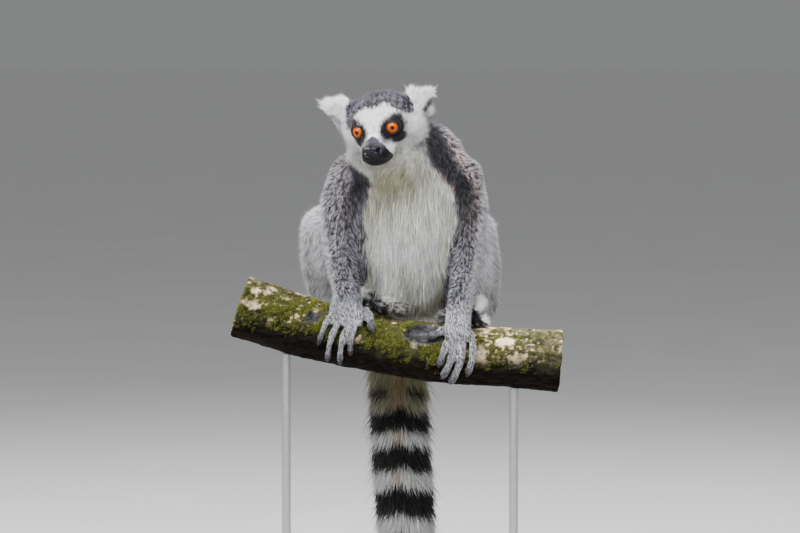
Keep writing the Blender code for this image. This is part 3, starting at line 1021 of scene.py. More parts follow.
def body_masks(points):
    """Shares of the body's white front, dark shoulder band (darker fur with painted shade), brown border and
    rosy shoulders.
    """
    x, y, z = from_seat(points).T
    on_left = x > 0
    heights = (0, 20, 45, 76, 95, 114, 135, 151, 160, 177, 200, 220)
    left = np.interp(z, heights, (42, 47, 50, 53, 56, 64, 62, 54, 46, 31, 28, 31))
    heights = (40, 60, 82, 101, 120, 134, 154, 162, 180, 200)
    right = np.interp(z, heights, (-38, -33, -38, -36, -42, -40, -31, -34, -58, -62))
    inside = np.minimum(left - x, x - right) + 2.0 * blotches(points, 160) + 1.5 * blotches(points, 400)
    ahead = np.interp(z, (0, 60, 110, 160, 180, 200), (70, 40, 14, -1, 8, 18))
    front = ramp(y, ahead + 6, ahead - 6)
    nape = ramp(z + 2.5 * blotches(points, 160), 204, 216) * ramp(y, -28, -8)
    white = ramp(inside, -3, 3) * front * (1 - nape)
    left = abs(x - np.interp(z, (60, 92, 123, 154, 177, 191, 207, 216), (68, 72, 75, 67, 49, 43, 39, 36)))
    left /= np.interp(z, (60, 92, 123, 154, 186, 207, 220), (5, 8, 11, 14, 15, 10, 7))
    right = abs(x - np.interp(z, (76, 115, 139, 154, 170, 190), (-64, -60, -49, -41, -45, -52)))
    right /= np.interp(z, (76, 115, 139, 154, 170), (7, 9, 11, 11, 11))
    left_share = np.interp(z, (60, 90, 120, 150), (0, 0.3, 0.65, 1))
    right_share = np.interp(z, (80, 125, 150), (0.15, 0.5, 1))
    # The dark band at the shoulders' front is darker fur and painted shade where the arms meet the chest.
    band = np.where(on_left, ramp(left, 1.45, 0.5), ramp(right, 1.5, 0.5)) * ramp(y, 35, 10)
    band *= np.where(on_left, left_share, right_share)
    border = bell(inside + 2, 4.5) * front * ramp(z, 70, 100) * ramp(z, 190, 160) * np.where(on_left, 1, 0.35)
    middle = np.where(on_left, np.interp(z, (60, 150, 180, 215), (80, 82, 72, 60)), -66)
    rosy = bell(x - middle, 13.0) * ramp(z, 60, 140) * ramp(y, 40, 15)
    return white, band, border, rosy


def ring_mask(points):
    """Share of black along the tail. The rings stand further apart down it, and rise along its middle."""
    x, y, z = from_seat(points).T
    wobble = np.array([noise.noise(point) for point in (points * 70).tolist()])
    down = -(z + 0.07 * y) / (1 + y / 3360) + 1.8 * wobble + 4.5 * bell(x + 2, 12)
    black = np.zeros(len(points))
    for start, end in RINGS:
        black = np.maximum(black, ramp(down, start - 1.5, start + 1.5) * ramp(down, end + 1.5, end - 1.5))
    broken = ramp(abs(x + 3.5), 9, 15) * ramp(abs(x + 3.5), 36, 31)
    return np.where(down < 97, black * broken, black)


def head_colours(points, parts):
    """Colours of the head, and how brindled its hairs are."""
    local = in_head(points)
    x, y, z = local.T
    across, count = abs(x), len(points)
    cap, patch, muzzle = face_masks(points)
    lilac = bell(np.hypot(across - 14, z + 7), 7.0) * (y < -15)
    lip = ramp(y, -44, -40) * ramp(z, -14, -22) * ramp(y, -20, -36)
    soft = mix(flat(BLACK, count), CHARCOAL, ramp(np.hypot(across - 20, z - 4), 9, 13.5))
    # Slate on the muzzle, lighter and bluer on its top as a painted sheen.
    top = mix(flat(SLATE, count), MUZZLE_TOP_WITH_SHEEN, ramp(z, -14, -6) * ramp(y, -56, -50))
    low = ramp(z, -12, -17) * ramp(y, -40, -48)
    colours = layered(
        flat(WHITE, count) * 1.08,
        (SHADED_CREAM, shaded_cream_share(points) * ramp(z, -8, -26)),
        (LILAC, 0.75 * lilac),
        (WHISKER_BED, 0.35 * lip),
        (CAP_GREY, cap),
        (soft, patch),
        (mix(top, np.array(BLACK) * 0.6, low), muzzle),
    )
    white_ear = flat(EAR_WHITE, count)
    ears = among(parts, "ear")
    # Round each ear's slit, painted shade on the cup's front, and on the left ear painted shadow deep in the
    # canal.
    for name, sign in EARS:
        slit, ahead = ear_slit(local, name, sign)
        slit = slit + 1.2 * blotches(points, 240)
        ear = parts == name
        canal_shadow = ear * (name == "ear_left") * ahead * ramp(slit + 1.2 * blotches(points, 420), 2.9, 0.8)
        shade = (EAR_CUP_PAINTED_SHADE, 0.85 * ear * ahead * ramp(slit, 6.5, 3))
        white_ear = layered(white_ear, shade, (EAR_CANAL_PAINTED_SHADOW, 0.85 * canal_shadow))
        along = ear_place(local, sign)[0]
        ears &= ~(ear & (cap > 0.5) & (along + 2.5 * blotches(points, 300) < 3))
    colours[ears] = white_ear[ears]
    brindle = mix(0.16, 1.2, cap) * np.where(muzzle > 0.5, 0.2, 1)
    return colours, np.where(ears, 0.1, brindle)


def foot_colours(points):
    """White hair over the foot's back and along the edges of the toes, black between: the toes' dark skin and
    hair, with painted shadow below the foot's back.
    """
    x, y, z = from_seat(points).T
    down = points @ np.array(((0.22, 0.5, 0), (0, 0.22, 0), (-0.13, 0.87, 1.0)))
    streaks = blotches(down, 210)
    fine = blotches(down, 420)
    right = ramp(z - 0.9 * (x + 44) + 5 * streaks, 20, 27)
    left = ramp(z - 21 + 1.6 * (x - 79) + 4 * streaks, -3, 4) * ramp(x, 73, 77)
    pale = np.maximum(np.where(x < 10, right, left), 0.6 * ramp(streaks, 0.6, 0.85))
    colours = mix(flat(BLACK, len(points)), WHITE, pale)
    great_toe = np.where(x < 10, ramp(x, -15, -10), ramp(x, 60, 55))
    return mix(colours, mix(flat(GREAT_TOE, len(points)), BLACK, ramp(fine, 0.0, 0.35)), great_toe)


def tail_colours(points):
    """The ringed tail: cream in front near its root, white further down, grey where it leaves the rump. Its
    cream and white are halved as painted shade.
    """
    x, y, z = from_seat(points).T
    middle = from_seat(middle_of("tail_2"))[1]
    to_white = np.maximum(ramp(z, -88, -150), ramp(y, middle - 4, middle + 14))
    return layered(
        # Cream and white at half strength: painted shade, for the tail hangs in the shade of the branch and
        # the body.
        flat(SHADED_CREAM, len(points)) * 0.5,
        (np.array(WHITE) * 0.5, to_white),
        (TAN, 0.6 * bell(x + 2, 7) * ramp(z, -280, -120)),
        (np.array(BLACK) * 0.7, ring_mask(points)),
        (GREY, ramp(z + 5 * blotches(points, 120), -62, -30)),
    )


def markings(points, parts):
    """The coat's base colour at each point, with painted rim light, shade and shadow in places, and how
    strongly its hairs vary between dark and light.
    """
    x, y, z = from_seat(points).T
    count = len(points)
    white, band, border, rosy = body_masks(points)
    torso, tail, feet = among(parts, "trunk", "neck"), among(parts, "tail"), among(parts, "foot")
    arms, legs = among(parts, "upper_arm", "forearm"), among(parts, "thigh", "shin")
    hands = among(parts, "hand")
    light = np.where(arms, mix(0.15, 0.5, ramp(z, 60, 15)), 0) + np.where(legs, 1, 0) + np.where(hands, 1, 0)
    left_edge, right_edge = np.interp(z, (33, 93, 158), (80, 90, 97)), np.interp(z, (31, 130), (75, 91))
    # Pale along the arms' outer edges: painted rim light.
    painted_rim_light = ramp(np.where(x > 0, left_edge - x, x + right_edge), 6.5, 1) * arms
    front_of_legs = ramp(y, 78, 38)
    colours = layered(
        flat(GREY, count),
        (ROSE_BROWN, 0.35 * ramp(z, 60, 160) * ramp(y, 0, 25)),
        (ROSE_BROWN, np.where(x > 0, 0.75, 0.4) * rosy),
        (SILVER, np.clip(light, 0, 1)),
        # Pale grey: painted rim light along the arms' outer edges, and the legs' pale grey fur, brightened as
        # painted rim light.
        (np.array(PALE_GREY) * 1.25, np.maximum(0.95 * painted_rim_light, legs * mix(0.25, 1, front_of_legs))),
        (PALE_GREY, hands * ramp(z, 25, 5)),
        # Darker on the hands next to the bark: the fingers' dark skin at their sides, and painted shade
        # between and under them.
        (np.array(CHARCOAL) * 0.7, 0.85 * hands * ramp(off_bark(points), 4.5, 1.5)),
    )
    for digit in DIGITS["hand_right"] + DIGITS["hand_left"]:
        tip, _ = on_branch(*digit_place(digit, 1), digit[4])
        near = ramp(np.linalg.norm(points - tip, axis=1), 0.011, 0.004)
        colours = mix(colours, np.array(CHARCOAL) * 1.5, 0.75 * near * hands)
    streaks = blotches(points * (1, 1, 0.22), 110)
    streaked = flat(WHITE, count) * mix(0.68, 1.04, ramp(streaks, -0.7, 0.5))[:, None]
    colours = layered(
        colours,
        # Charcoal along the shoulder band: darker fur with painted shade.
        (CHARCOAL, band * (torso | arms)),
        (TAN, 0.4 * border * torso),
        (streaked, white * torso),
        (SHADED_CREAM, white * torso * shaded_cream_share(points)),
    )
    brindle = np.where(hands, 0.45, 1.0) * mix(1, 0.6, band) * mix(1, 0.7, painted_rim_light)
    brindle = brindle * np.where(legs, mix(0.9, 0.6, front_of_legs), 1) * mix(1, 0.2, white * torso)
    brindle = np.where(tail | feet, 0.16, brindle)
    colours = np.where(tail[:, None], tail_colours(points), colours)
    colours = np.where(feet[:, None], foot_colours(points), colours)
    on_head = among(parts, "head", "muzzle", "eye", "ear")
    of_head, head_brindle = head_colours(points, parts)
    return np.where(on_head[:, None], of_head, colours), np.where(on_head, head_brindle, brindle)


def skin_colours(points, parts):
    """The skin's own colour: the coat's, darker, and black or slate where it is bare, with painted shadow in
    the left ear's slit and in the nostrils.
    """
    local = in_head(points)
    colours, brindle = markings(points, parts)
    colours = colours * mix(1.0, 0.5, np.clip(brindle, 0, 1))[:, None]
    # Painted shadow of the left ear's canal, dark on the skin along its slit.
    slit, ahead = ear_slit(local, "ear_left", 1)
    colours = mix(colours, CHARCOAL, among(parts, "ear_left", "head") * ahead * ramp(slit, 2.6, 1.4))
    # Painted shade: black inside the nostrils' openings.
    nostrils = ramp(nostrils_near(local), 2.6, 1.2) * among(parts, "muzzle")
    colours = mix(colours, np.array(BLACK) * 0.5, nostrils)
    colours[among(parts, "hand")] = np.array(CHARCOAL) * 1.2
    return colours


def clothe_skin(skin, parts):
    """Colours, gloss and unwrapped map of the skin, and the lids, coloured, that will be joined to it."""
    points = points_of(skin.data)
    lid_points, lid_faces = make_lids()
    lids = mesh_object("lids", lid_points, lid_faces)
    nose = np.linalg.norm((in_head(points) - (0, -58, -13)) / (9, 6, 9), axis=1)
    paint(skin, skin_colours(points, parts))
    paint(lids, flat(LID_SKIN, len(lid_points)))
    gloss = np.maximum(ramp(nose, 1.2, 0.8), 0.7 * face_masks(points)[2])
    for thing, shine in ((skin, gloss), (lids, np.full(len(lid_points), LID_GLOSS))):
        layer = thing.data.attributes.new("gloss", "FLOAT", "POINT")
        layer.data.foreach_set("value", shine.astype(np.float32))
    select_only(skin)
    bpy.ops.object.mode_set(mode="EDIT")
    bpy.ops.mesh.select_all(action="SELECT")
    bpy.ops.uv.smart_project(angle_limit=math.radians(66), island_margin=0.0005)
    bpy.ops.object.mode_set(mode="OBJECT")
    skin.data.uv_layers[0].name = "OFBake"
    skin.data.shade_smooth()
    return lids


# ---------------------------------------------------------------- coat


def distance_from_nose(points, edges):
    """How far each vertex is from the tip of the nose, along the skin."""
    lengths = np.linalg.norm(points[edges[:, 0]] - points[edges[:, 1]], axis=1)
    near = [[] for _ in range(len(points))]
    for (a, b), length in zip(edges.tolist(), lengths.tolist()):
        near[a].append((b, length))
        near[b].append((a, length))
    start = int(np.argmin(in_head(points)[:, 1]))
    best = [math.inf] * len(points)
    best[start] = 0.0
    ahead = [(0.0, start)]
    while ahead:
        reached, vertex = heapq.heappop(ahead)
        if reached > best[vertex]:
            continue
        for other, length in near[vertex]:
            if reached + length < best[other]:
                best[other] = reached + length
                heapq.heappush(ahead, (best[other], other))
    best = np.array(best)
    best[np.isinf(best)] = best[np.isfinite(best)].max()
    return best


def lie_of_coat(points, normals, edges, reached, parts):
    """The way that the hair lies: away from the nose along the skin, and hanging on the body and limbs."""
    a, b = edges.T
    span = points[b] - points[a]
    rise = (reached[b] - reached[a]) / np.maximum((span**2).sum(1), 1e-12)
    slope = span * rise[:, None]
    flow = sum(np.stack([np.bincount(end, column, len(points)) for column in slope.T], 1) for end in (a, b))
    flow = unit(flow)
    pull = spread(by_part(parts, HANG), edges, 12)[:, None]
    flow = unit(mix(flow, np.array((0.0, 0.12, -1.0)), pull))
    for name, sign in EARS:
        along, across, _ = ear_place(in_head(points), sign)
        axis, sideways, _ = ear_axes(sign)
        outward = axis * (0.5 + along / 45)[:, None] + sideways * (across / 11.5)[:, None]
        flow = np.where((parts == name)[:, None], unit(outward @ HEAD_TO_MODEL.T), flow)
    for _ in range(5):
        flow = spread(lay_flat(flow, normals), edges, 4)
    return lay_flat(flow, normals)


def coat_measures(points, parts):
    """Length, lift, width, density, clumping and waviness at each point."""
    length, lift, width, density, clump, wave = by_part(parts, COAT).T
    local = in_head(points)
    x, y, z = local.T
    head = among(parts, "head", "eye")
    front = head * ramp(y, -6, -20)
    cheek = ramp(abs(x), 27, 38) * ramp(z, 6, -6)
    length = mix(length, mix(2.6, 4.0, ramp(z, -2, 12)), front)
    length = mix(length, 12, head * cheek)
    length = mix(length, 10, head * ramp(z, -20, -30))
    lift = mix(mix(lift, 20, front), 36, head * np.maximum(cheek, ramp(z, -18, -28)))
    width = mix(width, 0.42, front)
    for name, sign in EARS:
        ear = parts == name
        along, sideways, _ = ear_place(local, sign)
        rim = ear * np.maximum(ramp(along, 16, 28), ramp(abs(sideways), 9, 14))
        length, lift = mix(length, 10.5, rim), mix(lift, 19, rim)
        length = mix(length, 8.0, ear * ramp(sideways, 5, 11) * ramp(along, 26, 16))
        slit, ahead = ear_slit(local, name, sign)
        length = mix(length, 3.2, ear * ahead * ramp(slit, 7, 3))
    belly = among(parts, "trunk") * ramp(from_seat(points)[:, 1], 30, 0) * body_masks(points)[0]
    length, lift = mix(length, 22, belly), mix(lift, 19, belly)
    width, density = mix(width, 0.72, belly), mix(density, 1.5, belly)
    toes, above = among(parts, "foot"), off_bark(points)
    digits = (among(parts, "hand") | toes) & (above < 13)
    length[digits], width[digits], density[digits] = 3.2, 0.45, 4.4
    length[toes] = np.where(above < 5, 3.5, 7.5)[toes]
    return np.c_[length, lift, width, density, clump, wave]


def bare(points):
    """Where no hair grows: the nose, the nostrils, the lips, and the eyes with their lids."""
    local = in_head(points)
    mirrored = np.c_[abs(local[:, 0]), local[:, 1:]]
    shut = np.linalg.norm((local - (0, -59, -13)) / (9.5, 8.5, 9.5), axis=1) < 1.0
    shut |= along_path(mirrored, np.array(MOUTH)) < 1.2
    shut |= nostrils_near(local) < 2.2
    for centre, gaze in zip(both_sides(EYE_PLACE), both_sides(GAZE)):
        out = local - centre
        shut |= (np.linalg.norm(out, axis=1) < LID_RADIUS + 1.2) & (off_gaze(out, gaze) < LID_ANGLE + 5)
    return shut


def chosen(name, starts, points, parts):
    """The vertices that a coat piece grows from."""
    picked = among(parts, *starts)
    if name in ("coat_crown", "coat_face"):
        cap, _, _ = face_masks(points)
        _, y, _ = in_head(points).T
        crown = (cap > 0.5) | (y > 6)
        picked &= crown if name == "coat_crown" else ~crown
    if name in ("coat_chest", "coat_back"):
        _, y, z = from_seat(points).T
        ahead = np.interp(z, (0, 60, 110, 160, 200), (70, 45, 22, 5, -12))
        picked &= (y < ahead) == (name == "coat_chest")
    return picked


def agouti(root, brindle, rng):
    """How light each hair is: dark, middling and light-tipped hairs in small groups where it's brindled."""
    grain = blotches(root, 450) * 0.95 + rng.normal(size=len(root)) * 0.24
    tone = np.select([grain < -0.18, grain < 0.2], [0.12, 0.8], 2.6)
    tone = mix(1.0, tone, np.clip(brindle, 0, 1.2))
    uneven = 1 + 0.24 * blotches(root, 330) + rng.normal(0, 0.15, len(root))
    return tone * np.clip(uneven, 0.45, 1.4)


def tuft_shape(bent):
    """A tuft's triangles, and its corners' places on its patch of the map and shares of its height."""
    if bent:
        faces = ((0, 2, 1), (0, 3, 2), (0, 1, 3), (4, 1, 2), (4, 2, 3), (4, 3, 1))
        patch = ((0, -0.5), (-0.5, 0), (0.5, 0), (0, 0), (0, 0.5))
        heights = (0, 0.5, 0.5, 0.5, 1.0)
    else:
        faces = ((0, 1, 3), (1, 2, 3), (2, 0, 3), (0, 2, 1))
        patch = ((-0.5, -0.5), (0.5, -0.5), (0, -0.3), (0, 0.5))
        heights = (0, 0, 0, 1.0)
    return np.array(faces), np.array(patch), np.array(heights)


def tufts_object(name, corners, faces):
    """One object of many tufts with the same triangles, and the corners of all its faces."""
    starts = np.arange(len(corners)) * corners.shape[1]
    all_faces = (faces[None] + starts[:, None, None]).reshape(-1, 3)
    return mesh_object(name, corners.reshape(-1, 3), all_faces), all_faces


def plant(ground, picked, most, rng):
    """Roots at random over the picked skin, each as the number of a triangle and weights for its corners."""
    triangles = ground["triangles"]
    inside = np.flatnonzero(picked[triangles].sum(1) >= 2)
    a, b, c = ground["points"][triangles[inside]].transpose(1, 0, 2)
    area = np.linalg.norm(np.cross(b - a, c - a), axis=1) / 2 / MM**2
    wanted = area * ground["measures"][triangles[inside], 3].mean(1)
    count = int(min(wanted.sum(), most))
    face = rng.choice(len(inside), count, p=wanted / wanted.sum())
    u, v = rng.random((2, count))
    over = u + v > 1
    u, v = np.where(over, 1 - u, u), np.where(over, 1 - v, v)
    return inside[face], np.stack((1 - u - v, u, v), 1)[:, :, None]


def gather(tips, clump, rng):
    """Tips drawn towards the nearest lock's, where it's near."""
    locks = tips[: max(len(tips) // HAIRS_IN_LOCK, 1)]
    tree = kdtree.KDTree(len(locks))
    for k, point in enumerate(locks.tolist()):
        tree.insert(point, k)
    tree.balance()
    gap = tips[[tree.find(point)[1] for point in tips.tolist()]] - tips
    close = ramp(np.linalg.norm(gap, axis=1), 0.009, 0.004)
    return tips + gap * (clump * close * rng.uniform(0.3, 1.4, len(tips)))[:, None]


def shape_tufts(root, normal, lie, measures, sag, bent, rng):
    """Each tuft's corners, their shading normals, and the place where its colour shows."""
    count = len(root)
    length, lift, width, _, clump, wavy = measures.T
    wave = np.array([noise.noise_vector(point) for point in (root * 60).tolist()])
    lie = lay_flat(unit(lie + wave * wavy[:, None] + 0.13 * rng.normal(size=(count, 3))), normal)
    length = length * np.clip(rng.normal(1, 0.17, count), 0.5, 1.4) * MM
    stray = rng.random(count) < STRAYS
    length = length * (1 + 0.3 * stray * (1 + clump))
    angle = np.radians(lift * np.clip(rng.normal(1, 0.2, count), 0.3, 1.7) + 14 * stray)
    away = lie * np.cos(angle)[:, None] + normal * np.sin(angle)[:, None]
    tip_way = unit(away + lie * 0.5 + (0, 0, -sag) + 0.09 * rng.normal(size=(count, 3)))
    middle = root + away * (length * MIDDLE)[:, None]
    tip = middle + tip_way * (length * (1 - MIDDLE))[:, None]
    if clump.max() > 0:
        tip = gather(tip, clump, rng)
    side = unit(np.cross(away, normal) + 0.35 * rng.normal(size=(count, 3)))
    deep = np.cross(away, side)
    half = width * 0.5 * MM * rng.uniform(0.7, 1.25, count)
    ring_at = middle if bent else root - normal * (0.25 * MM)
    ring, facing = [], []
    for turn in 2 * math.pi * np.arange(3) / 3:
        out = side * math.cos(turn) + deep * (0.55 * math.sin(turn))
        ring.append(ring_at + out * half[:, None])
        facing.append(unit(normal * 0.7 + out * 0.8))
    facing.append(unit(normal + tip_way * 0.3))
    if bent:
        ring.insert(0, root - normal * (0.3 * MM))
        facing.insert(0, normal)
    shown = root + away * (length * SHOWN)[:, None]
    return np.stack([*ring, tip], 1), np.stack(facing, 1), shown


def grow(name, starts, slot, most, bent, ground, seed):
    """One coat piece: tufts rooted at random over its part of the skin."""
    rng = np.random.default_rng(seed)
    picked = chosen(name, starts, ground["points"], ground["parts"]) & ~ground["bare"]
    faces, patch, heights = tuft_shape(bent)
    planted, weights = plant(ground, picked, most // len(faces), rng)
    triangle = ground["triangles"][planted]

    def at_root(values):
        return (values[triangle] * weights).sum(1)

    root, measures = at_root(ground["points"]), at_root(ground["measures"])
    normal, lie, sag = unit(at_root(ground["normals"])), unit(at_root(ground["flow"])), SAG.get(name, 0.0)
    corners, shading, shown = shape_tufts(root, normal, lie, measures, sag, bent, rng)

    colour, brindle = markings(shown, ground["parts"][triangle[:, 0]])
    base = np.clip(colour * agouti(root, brindle, rng)[:, None], 0.0025, 0.86)
    brindle = np.clip(brindle, 0, 1)
    # Each tuft darker at its root than its tip: the bands of brindled hairs, and on white hair painted shade
    # deep in the coat.
    low, high = mix(0.86, 0.42, brindle), mix(1.06, 1.35, brindle)
    shade = low[:, None] + (high - low)[:, None] * heights

    piece, all_faces = tufts_object(name, corners, faces)
    paint(piece, np.clip(base[:, None, :] * shade[:, :, None], 0.002, 0.9).reshape(-1, 3))
    flat_root = (ground["unwrap"][planted] * weights).sum(1)
    flat_place = np.clip(flat_root[:, None, :] + patch[None] * TUFT_PATCH, 0, 1).reshape(-1, 2)
    layer = piece.data.uv_layers.new(name="OFBake")
    layer.uv.foreach_set("vector", flat_place[all_faces.ravel()].astype(np.float32).ravel())
    piece.data.normals_split_custom_set_from_vertices(shading.reshape(-1, 3))
    return finish_piece(piece, slot, FUR)


def coat_ground(skin, parts):
    """All that the coat needs to know of the skin that it grows from."""
    mesh = skin.data
    points, normals = points_of(mesh), normals_of(mesh)
    edges, triangles = edges_of(mesh), triangles_of(mesh)
    loops = read(mesh.loop_triangles, "loops", 3, np.int64)
    soft_normals = unit(spread(normals, edges, 2))
    reached = spread(distance_from_nose(points, edges), edges, 10)
    return {
        "points": points,
        "normals": soft_normals,
        "triangles": triangles,
        "unwrap": read(mesh.uv_layers["OFBake"].uv, "vector", 2)[loops],
        "flow": lie_of_coat(points, soft_normals, edges, reached, parts),
        "parts": parts,
        "measures": spread(coat_measures(points, parts), edges, 8),
        "bare": bare(points),
    }


# ---------------------------------------------------------------- eyes and nails


def make_eye(side, sign):
    """An eyeball whose pole looks along the gaze, with the cornea swelled out of it."""
    centre = from_head(np.array((sign * EYE_PLACE[0], *EYE_PLACE[1:])))
    gaze = Vector(HEAD_TO_MODEL @ unit(np.array(PUPIL_GAZE[side])))
    turn = gaze.to_track_quat("Z", "Y").to_euler()
    eye = add_sphere("eyeball_" + side, 64, 48, radius=EYE_RADIUS * MM, location=centre, rotation=turn)
    bpy.ops.object.transform_apply(location=True, rotation=True, scale=True)
    out = unit(points_of(eye.data) - centre)
    angle = np.degrees(np.arccos(np.clip(out @ np.array(gaze), -1, 1)))
    swell = 0.55 * ramp(angle, 46, 20)
    place_points(eye.data, centre + out * ((EYE_RADIUS - 0.1 + swell) * MM)[:, None])
    eye.data.shade_smooth()
    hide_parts("eye_" + side)
    return finish_piece(eye, "eye", EYEBALL)


def make_nails(part):
    """A curved nail on the tip of each finger or toe of one hand or foot. The great toe hides its own."""
    nails = []
    shown = 1 if part.startswith("foot") else 0
    for digit in DIGITS[part][shown:]:
        half = digit[4]
        tip, up = on_branch(*digit_place(digit, 1), half * 1.25)
        before, _ = on_branch(*digit_place(digit, 0.9), half * 1.25)
        ahead = unit(tip - before)
        up = unit(up - ahead * (ahead @ up))
        nail = add_sphere("nail", 16, 12, radius=1)
        along, wide, high = points_of(nail.data).T
        length, width, thick = half * 1.1, half * 0.62, 0.55
        bend = -0.30 * wide**2 * width - 0.22 * (along + 0.4) ** 2 * length
        local = np.c_[along * length, wide * width * (1 - 0.2 * along), high * thick + bend]
        base = tip + ahead * (half * 0.75 * MM) + up * (0.5 * MM)
        place_points(nail.data, base + local @ np.stack((ahead, np.cross(up, ahead), up)) * MM)
        nail.data.shade_smooth()
        nails.append(nail)
    select_only(*nails)
    bpy.ops.object.join()
    nails[0].name = nails[0].data.name = "nails_" + part
    return finish_piece(nails[0], "dark_skin", NAIL)


# ---------------------------------------------------------------- branch


def branch_colours(points, x, z, turn, crack, hole):
    """Colours of the bark, with painted shade in its cracks and on its underside, and the share of moss on
    it. hole is below 1 inside the scar and the knot.
    """
    count = len(points)
    fine, wide = octaves(points, 150), octaves(points, 30)
    streaky = octaves(points * ALONG_GRAIN, 120)
    olive = ramp(wide + 0.6 * ramp(abs(turn - 70), 70, 20), 0.0, 0.5) * ramp(x, 150, 90)
    red_patches = 0.55 * ramp(octaves(points + 5.7, 34), 0.25, 0.5)
    red = np.maximum(ramp(turn, 106, 122) * ramp(streaky, -0.2, 0.2), red_patches)
    moss = ramp(fine * 0.6 + wide * 0.5 + 0.55 * ramp(abs(turn - 62), 62, 20), 0.2, 0.6)
    moss *= ramp(abs(turn - 55), 80, 50)
    moss *= mix(0.4, 1, ramp(abs(x + 20), 160, 60)) * ramp(octaves(points + 2.2, 260, 3), -0.35, 0.1)
    spots = octaves(points + 9.3, 70) + 0.35 * ramp(abs(x - 105), 45, 15) + 0.2 * ramp(x, -60, -130)
    flecks = octaves(points + 4.4, 260, 3) + 0.5 * ramp(abs(x - 100), 70, 20) + 0.25 * ramp(x, -50, -110)
    lichen = np.maximum(ramp(spots, 0.50, 0.62), 0.75 * ramp(flecks, 0.68, 0.84)) * ramp(turn, 112, 85)
    lichen *= ramp(turn, -80, -50)
    colours = layered(
        flat(BARK, count),
        (np.array(BARK) * 2.1, ramp(fine + 0.4 * ramp(turn, 40, 0), 0.0, 0.7)),
        (OLIVE, 0.85 * olive),
        (BARK_RED, red),
        # Near-black painted shade on the underside.
        (BARK_SHADE, 0.8 * ramp(turn, 85, 120) * ramp(streaky, 0.2, -0.3)),
        (mix(flat(MOSS, count), MOSS_LIGHT, ramp(octaves(points, 520, 3), 0.15, 0.6)), 0.9 * moss),
        (mix(flat(LICHEN, count), np.array(LICHEN) * 0.6, ramp(fine, -0.2, 0.5)), 0.85 * lichen),
        (mix(flat(OLD_WOOD, count), OLD_WOOD_LIGHT, ramp(streaky, -0.3, 0.5)), 0.92 * ramp(hole, 1.08, 0.9)),
    )
    # Lighter towards the front of the right end; darker in the cracks and on the underside as painted shade.
    shade = mix(1.0, 2.0, ramp(x, 70, 110) * ramp(turn, 85, 45))
    shade = shade * mix(1.0, 0.35, ramp(crack, 0.6, 0.95)) * mix(1.0, 0.16, ramp(turn, 66, 112))
    return colours * shade[:, None], moss * ramp(hole, 0.95, 1.3) * ramp(lichen, 0.6, 0.2)


def make_branch():
    """The cut branch: its bark ridged along it, with a scar, a knot, moss, lichen and two sawn ends."""
    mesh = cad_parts["perch_branch"].data.copy()
    with editing(mesh) as shape:
        bmesh.ops.remove_doubles(shape, verts=shape.verts, dist=WELD)
    branch = add_object("branch", mesh)
    apply(branch, "REMESH", mode="VOXEL", voxel_size=BARK_VOXEL * MM)
    mesh = branch.data
    points, edges = points_of(mesh), edges_of(mesh)
    sawn_at = abs(unit(spread(normals_of(mesh), edges, 2))[:, 0]) > 0.6
    near_end = spread(sawn_at.astype(float), edges, 4) > 0.02
    points = np.where(near_end[:, None], points, spread(points, edges, 14))
    place_points(mesh, points)
    normals = unit(spread(normals_of(mesh), edges, 2))
    height, _ = PERCH_AXIS
    x, y, z = from_seat(points).T
    turn = np.degrees(np.arctan2(SEAT[1] - points[:, 1], points[:, 2] - height(points[:, 0])))
    stretched = points * ALONG_GRAIN
    ridges, lumps = octaves(stretched, 150), octaves(points, 30, 3)
    crack = 1 - abs(octaves(stretched + 3.1, 85, 3)) * 2.4
    push = 0.75 * ridges + 0.9 * lumps + 0.35 * octaves(points, 320, 3) - 1.1 * ramp(crack, 0.72, 0.98)
    holes = []
    for (along, up, half_length, half_height), rough, deep in ((SCAR, 0.08, 1.7), (KNOT, 0.1, 1.3)):
        hole = np.hypot((x - along) / half_length, (z - up) / half_height) + rough * ridges
        hole = np.where(y < 5, hole, 9)
        push += 0.9 * bell(hole - 1.12, 0.14) - deep * ramp(hole, 1.0, 0.6)
        holes.append(hole)
    push = np.clip(push, -2.2, 1.2) * ~sawn_at - 0.5
    place_points(mesh, points + normals * (push * MM)[:, None])
    colours, moss = branch_colours(points, x, z, turn, crack, np.minimum(*holes))
    paint(branch, colours)
    mesh.shade_smooth()
    low, high = points[:, 0].min(), points[:, 0].max()
    finish_piece(branch, "bark", BARK_MATERIAL, make_sawn_material((0, SEAT[1], float(height(low)))))
    facing, middle = read(mesh.polygons, "normal", 3), read(mesh.polygons, "center", 3)
    at_end = (abs(facing[:, 0]) > 0.85) & ((middle[:, 0] < low + 0.02) | (middle[:, 0] > high - 0.02))
    mesh.polygons.foreach_set("material_index", at_end.astype(np.int32))
    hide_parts("perch_branch")
    return branch, moss


